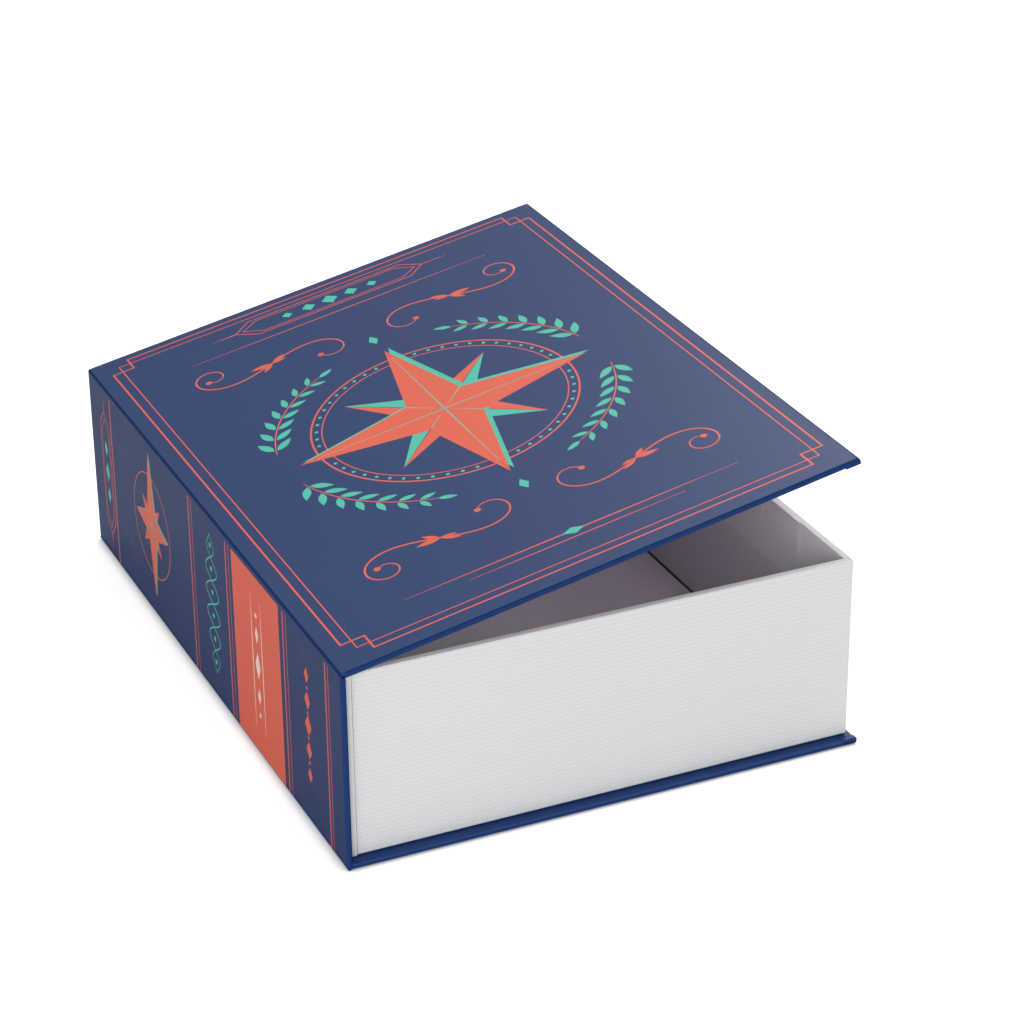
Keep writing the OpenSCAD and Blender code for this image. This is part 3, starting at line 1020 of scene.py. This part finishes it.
class BOOKBOX_OT_joint_fold(bpy.types.Operator):
    """Printed paper and lining at the fold of the upper joint"""

    bl_idname = "bookbox.joint_fold"
    bl_label = "Joint fold"

    def execute(self, context):
        form = context.scene.book_box_form
        self.printed(form)
        self.lining()
        self.turned_in_ends(form)
        self.webs()
        return {"FINISHED"}

    def printed(self, form):
        """Printed paper from the spine board over the fold to the cover board."""
        spine_face = -HALF_WIDTH + form.spine_inset
        meets = OPEN @ Vector((COVER_BOARD_START, 0, COVER_TOP))
        corner = Vector((spine_face, 0, meets.z - (meets.x - spine_face) * math.tan(OPENING)))
        middle = (spine_face, 0, (SPINE_BOARD_TOP + corner.z) / 2)
        paper = plane(1, middle, (0, math.pi / 2, 0))
        paper.name = paper.data.name = "joint_fold_paper"
        paper.scale = (corner.z - SPINE_BOARD_TOP, 2 * (HALF_LENGTH - form.fold_radius + NEAR), 1)
        settle(paper)
        choose(paper, "edges", lambda e: all(p.z > corner.z - NEAR for p in ends(paper, e)))
        bpy.ops.mesh.extrude_region_move(TRANSFORM_OT_translate={"value": meets - corner})
        close_edit()
        bevel_edges(paper, form.joint_bevel, 9, lambda e: all(
            abs(p.z - corner.z) < NEAR and abs(p.x - corner.x) < NEAR for p in ends(paper, e)))
        recalculate(paper, (-1, 0, 0))
        thicken(paper, PAPER)
        smooth(paper, ROUNDING)
        dress(paper, "Navy print", "Creased navy print")
        # The faces of the bend get the navy print with painted shade.
        for face in paper.data.polygons:
            if all(face.normal.dot(way) < 0.999 for way in (Vector((-1, 0, 0)), COVER_UP)):
                face.material_index = 1
        self.bend(paper, "printed_cover")

    def lining(self):
        section = self.section([(-94.655, 72.454), (-94.521, 72.387)], [(-94.387, 72.521), (-94.454, 72.655)])
        reach = HALF_LENGTH - LINING_BORDER
        strip = dress(prism("joint_fold_lining", section, -reach, reach), "Cover lining paper")
        self.bend(strip, "lining_paper")

    def turned_in_ends(self, form):
        """Rounded ends of the printed paper at the head and the tail, narrower towards the fold."""
        spine = Matrix.Translation((-HALF_WIDTH + form.spine_inset, 0, SPINE_BOARD_TOP))
        edge = Matrix(((0, 0, -1, COVER_BOARD_START), (0, 1, 0, 0), (-1, 0, 0, COVER_TOP), (0, 0, 0, 1)))
        for name, body, lay, thickness, height, tip in (
                ("spine_joint_ends", CASE, spine, COVER_THICKNESS - form.spine_inset, 2.0 * MM, 0.15 * MM),
                ("cover_joint_ends", COVER, OPEN @ edge, COVER_THICKNESS, 1.65 * MM, 0.25 * MM)):
            pair = [self.tapered_end(form.fold_radius, thickness, height, tip, way) for way in (1, -1)]
            piece = join(pair, name)
            piece.matrix_world = lay
            recalculate(settle(piece))
            smooth(piece, ROUNDING)
            dress(piece, "Folded navy print")
            ride(piece, "printed_cover", body)

    def webs(self):
        """Folded paper that closes the space between the ends of the two boards."""
        section = self.section([(-94.62, 72.6), (-92.93, 70.3)], [(-92.99, 70.92), (-94.55, 72.76)])
        near, far = HALF_LENGTH - 2.2 * MM, HALF_LENGTH - 1.2 * MM
        name = "joint_end_webs"
        webs = join([prism(name, section, near, far), prism(name, section, -far, -near)], name)
        # The webs have painted shade all over.
        self.bend(dress(webs, "Creased navy print"), "printed_cover")

    def section(self, spine_side, cover_side):
        """A section across the fold, from points in millimetres beside the spine, and points beside the
        closed cover, which turn with it."""
        turned = [OPEN @ Vector((x * MM, 0, z * MM)) for x, z in cover_side]
        return [(x * MM, z * MM) for x, z in spine_side] + [(p.x, p.z) for p in turned]

    def tapered_end(self, radius, thickness, height, tip, way):
        """The rounded end of a board's paper, lying flat, drawn up by a height to a narrow end at x = tip."""
        start = HALF_LENGTH - radius
        turns = [math.pi / 8 * index for index in range(5)]
        quarter = [(radius * (1 - math.cos(a)), start + radius * math.sin(a)) for a in turns]
        profile = quarter + [(thickness - x, y) for x, y in reversed(quarter)]
        end = flat_shape([(x, way * y) for x, y in profile])
        choose(end, "polygons", every)
        bpy.ops.mesh.extrude_region_move(TRANSFORM_OT_translate={"value": (0, 0, height)})
        bpy.ops.transform.resize(value=(0.12, 1, 1), center_override=(tip, 0, height))
        close_edit()
        return end

    def bend(self, piece, slot):
        """Puts a piece's place and turn into its mesh. The slot is not used."""
        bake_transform(piece)


class BOOKBOX_OT_page_papers(bpy.types.Operator):
    """Ribbed page-edge paper round three sides of the tray, the walls and corner stays under it, and the
    plain paper on its spine side"""

    bl_idname = "bookbox.page_papers"
    bl_label = "Page papers"

    def execute(self, context):
        form = context.scene.book_box_form
        sleeve = copy_of("page_edge_paper", "page_edge_sleeve")
        self.open_seam(sleeve, form)
        self.shape_sides(sleeve, form)
        self.ease_plates(sleeve, form)
        self.round_corners(sleeve, form)
        self.finish(sleeve)
        self.walls(form)
        self.stays()
        dress_node("spine_side_paper", "Side page paper")
        return {"FINISHED"}

    def open_seam(self, sleeve, form):
        seam = min(v.co.x for v in sleeve.data.vertices)
        shift(sleeve, lambda p: p.x < seam + NEAR, (form.seam_gap, 0, 0))

    def shape_sides(self, sleeve, form):
        """Makes the pressed lines on the outer side shallower, and draws in the outer edge of the rim and the
        foot, where the paper turns over and under the walls."""
        above = OUTER_GROOVE - 0.1 * MM
        foot = COVER_THICKNESS + 0.25 * MM
        skin = 0.45 * MM
        self.move_sides(sleeve, form.groove_fill,
                        lambda z, out, face: z > above and abs(out - face + GROOVE_DEPTH) < NEAR)
        self.move_sides(sleeve, -form.rim_ease, lambda z, out, face: z > RIM and out > face - NEAR)
        self.move_sides(sleeve, -form.page_foot, lambda z, out, face: z < foot and out > face - skin)

    def move_sides(self, sleeve, move, test):
        """Moves those parts of the three sides outwards that test is true for. It is given a vertex's height,
        its place across the side, and the place of the side's face."""
        shift(sleeve, lambda p: test(p.z, p.x, FORE_EDGE), (move, 0, 0))
        for way in (1, -1):
            shift(sleeve, lambda p: test(p.z, way * p.y, PAGE_REACH), (0, way * move, 0))

    def ease_plates(self, sleeve, form):
        """Draws out the slopes at the ends of the two steel plates under the turned-in paper."""
        for plate in (PLATE_MIDDLE, -PLATE_MIDDLE):
            for way in (1, -1):
                start = plate + way * PLATE_HALF
                choose(sleeve, "vertices", lambda v: v.co.x < FORE_EDGE - 2 * MM and v.co.z > 40 * MM
                       and NEAR < way * (v.co.y - start) < MM)
                bpy.ops.transform.resize(value=(1, form.plate_slope, 1), center_override=(0, start, 0))
                close_edit()

    def round_corners(self, sleeve, form):
        edge_depth = 0.15 * MM

        def upright(edge):
            return all(p.x > FORE_EDGE - edge_depth and abs(p.y) > PAGE_REACH - edge_depth
                       and abs(FORE_EDGE - p.x - PAGE_REACH + abs(p.y)) < NEAR for p in ends(sleeve, edge))

        bevel_edges(sleeve, form.page_corner, 3, upright)

    def finish(self, sleeve):
        """Shades the paper, and gives its turned-in side a finish with painted shade, and the top of its rim
        one with painted light.
        """
        inside_x, inside_y, inside_top = 90.9 * MM, 125.8 * MM, 70.15 * MM
        rim_y, rim_low = 125.4 * MM, 70.1 * MM
        smooth(sleeve, 50)
        dress(sleeve, "Ribbed page paper", "Turned-in page paper", "Rim page paper")
        for face in sleeve.data.polygons:
            x, y, z = face.center
            if z < inside_top and x < inside_x and abs(y) < inside_y:
                face.material_index = 1
            elif face.normal.z > 0.3 and z > rim_low and abs(y) > rim_y:
                face.material_index = 2
        ride(sleeve, "page_paper", CASE, "page_edge_paper")

    def walls(self, form):
        """Three walls of the tray, their lower outer edges worn round where the page paper turns under."""
        for node in ("tray_fore_edge_wall", "tray_head_wall", "tray_tail_wall"):
            low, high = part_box(node)
            wall = copy_of(node, node + "_board")

            def outer_foot(edge):
                pair = ends(wall, edge)
                if any(abs(p.z - low[2]) > NEAR for p in pair):
                    return False
                return all(abs(p.x - high[0]) < NEAR for p in pair) or (
                    node != "tray_fore_edge_wall"
                    and all(abs(abs(p.y) - max(high[1], -low[1])) < NEAR for p in pair))

            bevel_edges(wall, 1.3 * form.page_foot, 3, outer_foot)
            dress(wall, "Greyboard")
            ride(wall, "greyboard", CASE, node)

    def stays(self):
        """Corner stays, which end above the foot of the page paper."""
        stays = copy_of("corner_stays", "corner_stay_papers")
        shift(stays, lambda p: p.z < 2.4 * MM, (0, 0, MM))
        dress(stays, "Gummed paper")
        ride(stays, "gummed_paper", CASE, "corner_stays")


class BOOKBOX_OT_tray(bpy.types.Operator):
    """Floor panel of the tray, and the finishes of its boards, plates and linings"""

    bl_idname = "bookbox.tray"
    bl_label = "Tray and linings"

    def execute(self, context):
        gap = context.scene.book_box_form.panel_gap
        self.floor_panel("floor_card", "floor_panel_card", "Greyboard", "greyboard", gap)
        self.floor_panel("floor_card_paper", "floor_panel_paper", "Floor lining paper", "lining_paper", gap)
        for node, key in (("tray_floor", "Greyboard"), ("tray_spine_wall", "Greyboard"),
                          ("closure_plates", "Steel plate"), ("cover_magnets", "Nickel plate"),
                          ("wall_lining", "Wall lining paper"), ("front_cover_lining", "Cover lining paper"),
                          ("joint_lining", "Cover lining paper")):
            dress_node(node, key)
        return {"FINISHED"}

    def floor_panel(self, node, name, key, slot, gap):
        """One layer of the floor panel, cut a little small, so that a gap shows round it, which the painted
        shade at the wall lining's foot darkens.
        """
        low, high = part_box(node)
        panel = copy_of(node, name)
        for axis in (0, 1):
            for way, reach in ((1, high[axis]), (-1, -low[axis])):
                move = [0.0, 0.0, 0.0]
                move[axis] = -way * gap
                shift(panel, lambda p: way * p[axis] > reach - 0.2 * MM, move)
        dress(panel, key)
        ride(panel, slot, CASE, node)


class BOOKBOX_OT_cover_print(bpy.types.Operator):
    """Print of the front cover: double frame, star, sprays, scrolls, plaque and swelled rules"""

    bl_idname = "bookbox.cover_print"
    bl_label = "Front cover print"

    def execute(self, context):
        art = context.scene.book_box_print
        cx, cy = 0.55 * MM, 1.38 * MM
        self.frame_rules(art, cx, cy)
        self.star(art, cx, cy)
        self.wreath(art, cx, cy)
        self.ornaments(art, cx, cy)
        self.gems(cx, cy)
        return {"FINISHED"}

    def frame_rules(self, art, cx, cy):
        outer_x, outer_y, inner_x, inner_y = 89.25 * MM, 126.1 * MM, 85.3 * MM, 122.3 * MM
        step = art.frame_step
        corners = ((1, 1), (-1, 1), (-1, -1), (1, -1))
        stepped = []
        for sx, sy in corners:
            near = (cx + sx * outer_x, cy + sy * (outer_y - step))
            notch = (cx + sx * (outer_x - step), cy + sy * (outer_y - step))
            far = (cx + sx * (outer_x - step), cy + sy * outer_y)
            stepped += [near, notch, far] if sx == sy else [far, notch, near]
        plain = [(cx + sx * inner_x, cy + sy * inner_y) for sx, sy in corners]
        cover_art([outline(stepped, art.wide_rule)], "cover_outer_rule", 1, 1, "Coral print")
        cover_art([outline(plain, art.thin_rule)], "cover_inner_rule", 1, 0.8, "Coral print")

    def star(self, art, cx, cy):
        """A star of four long and four short points, over two rings with dots between them."""
        radius = art.star_radius
        gap = art.star_gap
        eighth = math.pi / 4
        long_points, short_points = [radius] * 4, [0.7 * radius] * 4
        shade_x, shade_y = cx + 1.9 * MM, cy + 1.2 * MM
        for name, key, level, shapes in (
                ("cover_star_shade", "Teal print", 0.62, star(shade_x, shade_y, long_points, 0.27 * radius)),
                ("cover_star", "Coral print", 1.0, star(cx, cy, long_points, 0.27 * radius, 0.0, gap)),
                ("cover_short_points", "Coral print", 0.4,
                 star(cx, cy, short_points, 0.2 * radius, eighth, gap, (1,))),
                ("cover_short_shades", "Teal print", 0.4,
                 star(cx, cy, short_points, 0.2 * radius, eighth, gap, (-1,)))):
            cover_art(shapes, name, 0.3, level, key)
        rings = [ring(cx, cy, 0.86 * radius, 0.75 * MM), ring(cx, cy, 0.79 * radius, 0.45 * MM)]
        cover_art(rings, "cover_rings", 0.2, 0.2, "Coral print")
        count = 56
        angles = [2 * math.pi * (index + 0.5) / count for index in range(count)]
        between = 0.825 * radius
        dots = [dot(cx + between * math.cos(angle), cy + between * math.sin(angle), 0.7 * MM)
                for angle in angles if abs(math.remainder(angle, 2 * eighth)) > 0.1]
        cover_art(dots, "cover_ring_dots", 0.2, 0.2, "Teal print")

    def wreath(self, art, cx, cy):
        """Four sprays of leaves round the star, each on a stem that runs out to points."""
        radius = 1.09 * art.star_radius
        first, last, steps = 12, 64, 24
        stems, leaves = [], []
        for turn in range(4):
            mirror = 1 if turn % 2 == 0 else -1
            base = math.pi * (turn // 2)

            def bearing(degrees):
                return base + mirror * math.radians(degrees)

            def place(degrees, reach):
                return (cx + reach * math.cos(bearing(degrees)), cy + reach * math.sin(bearing(degrees)))

            arc = [first + (last - first) * i / steps for i in range(steps + 1)]
            stems.append(stroke([place(d, radius) for d in arc], swell(steps + 1, 0.3 * MM, 0.6 * MM)))
            for index in range(7):
                degrees = 15 + 7.2 * index
                size = (1.0 - 0.05 * index) * 9 * MM
                for side in (1, -1):
                    x, y = place(degrees, radius + side * 0.6 * MM)
                    lean = bearing(degrees + 90) - mirror * side * math.radians(38)
                    leaves.append(leaf(x, y, lean, size, 0.36 * size))
            leaves.append(leaf(*place(last, radius), bearing(last + 90), 7 * MM, 2.4 * MM))
        cover_art(stems, "cover_wreath_stems", 0.3, 0.5, "Coral print")
        cover_art(leaves, "cover_wreath_leaves", 0.3, 0.7, "Teal print")

    def ornaments(self, art, cx, cy):
        """Scrolls with leaves over and under the star, tapered rules, and the plaque."""
        shapes = []
        out, up, slope = 37 * MM, 80 * MM, 24
        for way in (1, -1):
            shapes += scroll_pair((cx + out, cy + way * up), way * math.radians(-slope), (62 * MM, 48 * MM),
                                  (way * 280, way * 230), 0.85 * MM, 1.25 * MM, cx)
            for side in (1, -1):
                for turn, size in ((24, 9.0), (-20, 7.0), (172, 7.5), (196, 6.0)):
                    heading = way * math.radians(turn - slope)
                    heading = heading if side > 0 else math.pi - heading
                    shapes.append(leaf(cx + side * out, cy + way * up, heading, size * MM, 0.28 * size * MM))
        for y, half, width in ((-107, 62, 0.8), (-111, 40, 0.6), (101, 62, 0.6)):
            shapes.append(tapered_rule(cx - half * MM, cy + y * MM, cx + half * MM, cy + y * MM, width * MM))
        shapes += plaque_shapes(cx, cy + 113 * MM, 40 * MM, 6.6 * MM, 10.5 * MM, art, False)
        cover_art(shapes, "cover_scrolls", 0.5, 0.7, "Coral print")

    def gems(self, cx, cy):
        """Lozenges on the lower rule, over and under the star, and in the plaque."""
        rows = [(0, -107, 4.2, 2.1), (0, 68, 1.9, 3.6), (0, -68, 1.9, 3.6)]
        rows += [(index * 9, 113, 3.4 - abs(index) * 0.6, 3.6 - abs(index) * 0.7) for index in range(-2, 3)]
        shapes = [lozenge(cx + x * MM, cy + y * MM, half_x * MM, half_y * MM)
                  for x, y, half_x, half_y in rows]
        cover_art(shapes, "cover_lozenges", 0.3, 0.95, "Teal print")


class BOOKBOX_OT_spine_print(bpy.types.Operator):
    """Print of the spine: rules, plaque, star, wave, panel and lozenges"""

    bl_idname = "bookbox.spine_print"
    bl_label = "Spine print"

    def execute(self, context):
        art = context.scene.book_box_print
        wide = [(y * MM, art.spine_wide_rule) for y in (105.8, 15.2, -23.7, -79.5, -118.0)]
        thin = [(y * MM, art.spine_thin_rule) for y in (12.0, -26.8, -82.5, -120.5)]
        self.wrapped_strips([(-52.7 * MM, 45.8 * MM)], "spine_panel", 0.6 * art.lift)
        self.wrapped_strips(wide + thin, "spine_rules", 0.8 * art.lift)
        self.ornaments(art)
        self.wave()
        self.panel_ornament()
        return {"FINISHED"}

    def wrapped_strips(self, strips, name, lift):
        """Upright strips of ink (y of the middle, width) that run over the lower joint."""
        form = bpy.context.scene.book_box_form
        inset, radius = form.spine_inset, form.lower_radius
        shapes = []
        for y, width in strips:
            middle = (-HALF_WIDTH + inset - lift, y, (RULE_TOP + radius) / 2)
            strip = plane(1, middle, (0, -math.pi / 2, 0))
            strip.scale = (RULE_TOP - radius, width, 1)
            settle(strip)
            low = min(v.co.z for v in strip.data.vertices)
            choose(strip, "edges", lambda e: all(p.z < low + NEAR for p in ends(strip, e)))
            centre = (-HALF_WIDTH + radius + inset, y, low)
            bpy.ops.mesh.spin(steps=12, angle=math.radians(-82), center=centre, axis=(0, 1, 0))
            close_edit()
            shapes.append(strip)
        art = recalculate(join(shapes, name), (-1, 0, 0))
        smooth(thicken(art, 0.5 * lift), 30)
        dress(art, "Coral print")
        ride(art, "printed_cover", CASE)

    def ornaments(self, art):
        """The star with its ring, the plaque, and a row of lozenges and dots."""
        x, y = -60.5 * MM, 38 * MM
        long_points = [18 * MM, 30 * MM] * 2
        shade = star(x + 0.8 * MM, y + 0.6 * MM, long_points, 6.5 * MM)
        spine_art(shade, "spine_star_shade", 0.3, 0.5, "Teal print")
        spine_art(star(x, y, long_points, 6.5 * MM, 0.0, 0.35 * MM), "spine_star", 0.3, 1.0, "Coral print")
        short = star(x, y, [14 * MM] * 4, 5 * MM, math.pi / 4, 0.3 * MM)
        spine_art(short, "spine_short_points", 0.2, 0.3, "Coral print")
        row, pitch = 100.4 * MM, 9.5 * MM
        shapes = plaque_shapes(PLAQUE, 36.5 * MM, 26.5 * MM, 5.6 * MM, 6 * MM, art, True)
        shapes.append(ring(x, y, 20.5 * MM, 0.45 * MM))
        for index in range(-2, 3):
            less = 0.5 * abs(index)
            shapes.append(lozenge(row, y + index * pitch, (3.0 - less) * MM, (4.0 - less) * MM))
        for index in range(-2, 2):
            shapes.append(dot(row, y + (index + 0.5) * pitch, 0.7 * MM))
        spine_art(shapes, "spine_ornaments", 0.4, 0.8, "Coral print")

    def wave(self):
        """A wave of two strands with dots between them, and lozenges in the plaque."""
        x, low, length, turns, last = 7.2 * MM, 10, 56, 6, 96
        shapes = []
        for way, rise in ((1, 0.003 * MM), (-1, 0.006 * MM)):
            points, widths = [], []
            for index in range(last + 1):
                t = index / last
                lean = math.sin(math.pi * t) ** 0.5
                swing = way * 6.6 * MM * lean * math.sin(turns * math.pi * t)
                points.append((x + swing, (low + length * t) * MM))
                widths.append((0.25 + 0.35 * lean) * MM)
            shapes.append(stroke(points, widths, rise))
        for index in range(turns):
            shapes.append(dot(x, (low + length * (index + 0.5) / turns) * MM, 1.0 * MM))
        for index in (-1, 0, 1):
            less = abs(index)
            half_x, half_y = (2.2 - 0.4 * less) * MM, (4.2 - 0.8 * less) * MM
            shapes.append(lozenge(PLAQUE, (37 + index * 10) * MM, half_x, half_y))
        spine_art(shapes, "spine_wave", 0.3, 0.85, "Teal print")

    def panel_ornament(self):
        """Two tapered lines on the panel, with lozenges and dots between them."""
        x, low, high = 52.7 * MM, 10 * MM, 62 * MM
        shapes = [tapered_rule(line, low, line, high, 0.7 * MM) for line in (48 * MM, 57.4 * MM)]
        for y, half_x, half_y in ((36, 2.4, 5.2), (24, 1.5, 3.2), (48, 1.5, 3.2)):
            shapes.append(lozenge(x, y * MM, half_x * MM, half_y * MM))
        shapes += [dot(x, y * MM, 0.9 * MM) for y in (16.5, 55.5)]
        spine_art(shapes, "spine_panel_ornament", 0.3, 1.0, "Cream print")


# The studio

def grey(level):
    return (level, level, level)


class BOOKBOX_OT_studio(bpy.types.Operator):
    """Plain white floor, soft light and the camera"""

    bl_idname = "bookbox.studio"
    bl_label = "Studio"

    def execute(self, context):
        studio = context.scene.book_box_studio
        self.floor(studio)
        self.world(context)
        self.lamps(context)
        self.camera(context, studio)
        context.scene.view_settings.view_transform = "Standard"
        return {"FINISHED"}

    def floor(self, studio):
        """A floor that the camera sees as white, except for the shade close under the box."""
        floor = plane(studio.floor_size, (0, 0, -0.05 * MM))
        floor.name = floor.data.name = "studio_floor"
        settle(floor)
        choose(floor, "polygons", every)
        bpy.ops.mesh.subdivide(number_cuts=3)
        close_edit()
        material, tree, shader = new_material("Studio floor")
        paths = add(tree, "ShaderNodeLightPath").outputs
        pale = mixed(tree, noise(tree, object_place(tree), 3.0), grey(0.86), grey(0.88))
        # Shiny faces of the box mirror the floor darker than it is lit.
        dim_in_reflections = mixed(tree, paths["Is Glossy Ray"], pale, grey(0.42))
        ground = mixed(tree, paths["Is Camera Ray"], dim_in_reflections, grey(0.82))
        tree.links.new(ground, shader.inputs["Base Color"])
        shader.inputs["Roughness"].default_value = 0.9
        shader.inputs["Specular IOR Level"].default_value = 0.0
        # The camera's glow is dimmed by ambient occlusion within 6 mm of the box: a painted contact shadow
        # over the floor's real one.
        near = add(tree, "ShaderNodeAmbientOcclusion", {"samples": 8}, Distance=6 * MM).outputs["AO"]
        clear = maths(tree, "MULTIPLY_ADD", ramp(tree, near, 0.45, 0.85), 0.44, 0.1)
        strength = maths(tree, "MULTIPLY", paths["Is Camera Ray"], clear)
        glow = add(tree, "ShaderNodeEmission", Color=(1, 1, 1, 1), Strength=strength)
        both = add(tree, "ShaderNodeAddShader", n0=shader.outputs[0], n1=glow.outputs[0])
        tree.links.new(both.outputs[0], tree.nodes["Material Output"].inputs["Surface"])
        material.cycles.emission_sampling = "NONE"
        floor.data.materials.append(material)

    def world(self, context):
        """A sky that is white for the camera, and dim for the light, brighter behind and to the right."""
        world = bpy.data.worlds.new("Studio")
        world.use_nodes = True
        tree = world.node_tree
        back = tree.nodes["Background"]
        back.inputs["Color"].default_value = (1, 1, 1, 1)
        paths = add(tree, "ShaderNodeLightPath").outputs
        place = add(tree, "ShaderNodeTexCoord").outputs["Generated"]
        towards = add(tree, "ShaderNodeSeparateXYZ", Vector=place).outputs
        behind = ramp(tree, towards["Y"], -0.5, 0.7)
        fore = ramp(tree, towards["X"], -0.1, 0.9)
        level = maths(tree, "MULTIPLY_ADD", fore, 0.3, maths(tree, "MULTIPLY_ADD", behind, 0.3, 0.1))
        strength = add(tree, "ShaderNodeMix", {"data_type": "FLOAT"},
                       n0=paths["Is Camera Ray"], n2=level, n3=1.0)
        tree.links.new(strength.outputs[0], back.inputs["Strength"])
        context.scene.world = world

    def lamps(self, context):
        """Square lamps, given as name, place, side, power, and whether shiny faces mirror them."""
        target = Vector((0, 0, 0.04))
        for name, place, side, power, mirrored in (
                ("Lamp overhead", (0.1, 0.2, 1.9), 1.6, 15.0, True),
                ("Lamp behind", (1.0, 1.15, 1.0), 0.8, 8.8, True),
                ("Lamp front", (-1.3, -1.9, 0.95), 1.4, 39.0, False)):
            only_nothing()
            bpy.ops.object.light_add(type="AREA", location=place)
            lamp = context.object
            lamp.name = lamp.data.name = name
            lamp.data.shape = "SQUARE"
            lamp.data.size = side
            lamp.data.energy = power
            lamp.visible_glossy = mirrored
            lamp.rotation_euler = (target - lamp.location).to_track_quat("-Z", "Y").to_euler()

    def camera(self, context, studio):
        a, e, r = studio.azimuth, studio.elevation, studio.roll
        back = Vector((math.sin(a) * math.cos(e), -math.cos(a) * math.cos(e), math.sin(e)))
        level_right = Vector((math.cos(a), math.sin(a), 0))
        level_up = back.cross(level_right)
        right = level_right * math.cos(r) + level_up * math.sin(r)
        up = level_up * math.cos(r) - level_right * math.sin(r)
        only_nothing()
        bpy.ops.object.camera_add(location=studio.camera_place)
        camera = context.object
        camera.name = camera.data.name = "Camera"
        camera.data.lens = studio.lens
        camera.data.sensor_width = 36.0
        camera.data.clip_end = 30.0
        camera.rotation_euler = Matrix((right, up, back)).transposed().to_euler()
        context.scene.camera = camera


class BOOKBOX_PT_pieces(bpy.types.Panel):
    """Pieces of the book box, in the order in which they are built"""

    bl_idname = "BOOKBOX_PT_pieces"
    bl_label = "Book box"
    bl_space_type = "VIEW_3D"
    bl_region_type = "UI"
    bl_category = "Book box"

    def draw(self, context):
        for operator in OPERATORS:
            self.layout.operator(operator.bl_idname)
        for name in SETTINGS:
            box = self.layout.box()
            box.label(text=SETTINGS[name].__doc__)
            settings = getattr(context.scene, name)
            for key in SETTINGS[name].__annotations__:
                box.prop(settings, key)


OPERATORS = (
    BOOKBOX_OT_cover_boards,
    BOOKBOX_OT_cover_papers,
    BOOKBOX_OT_joint_fold,
    BOOKBOX_OT_page_papers,
    BOOKBOX_OT_tray,
    BOOKBOX_OT_cover_print,
    BOOKBOX_OT_spine_print,
    BOOKBOX_OT_studio,
)
SETTINGS = {
    "book_box_form": BookBoxForm,
    "book_box_print": BookBoxPrint,
    "book_box_finish": BookBoxFinish,
    "book_box_studio": BookBoxStudio,
}


def register():
    for name, group in SETTINGS.items():
        bpy.utils.register_class(group)
        setattr(bpy.types.Scene, name, PointerProperty(type=group))
    for operator in OPERATORS:
        bpy.utils.register_class(operator)
    bpy.utils.register_class(BOOKBOX_PT_pieces)


def unregister():
    bpy.utils.unregister_class(BOOKBOX_PT_pieces)
    for operator in reversed(OPERATORS):
        bpy.utils.unregister_class(operator)
    for name, group in SETTINGS.items():
        delattr(bpy.types.Scene, name)
        bpy.utils.unregister_class(group)


def main():
    register()
    for operator in OPERATORS:
        group, name = operator.bl_idname.split(".")
        getattr(getattr(bpy.ops, group), name)()


if __name__ == "__main__":
    main()
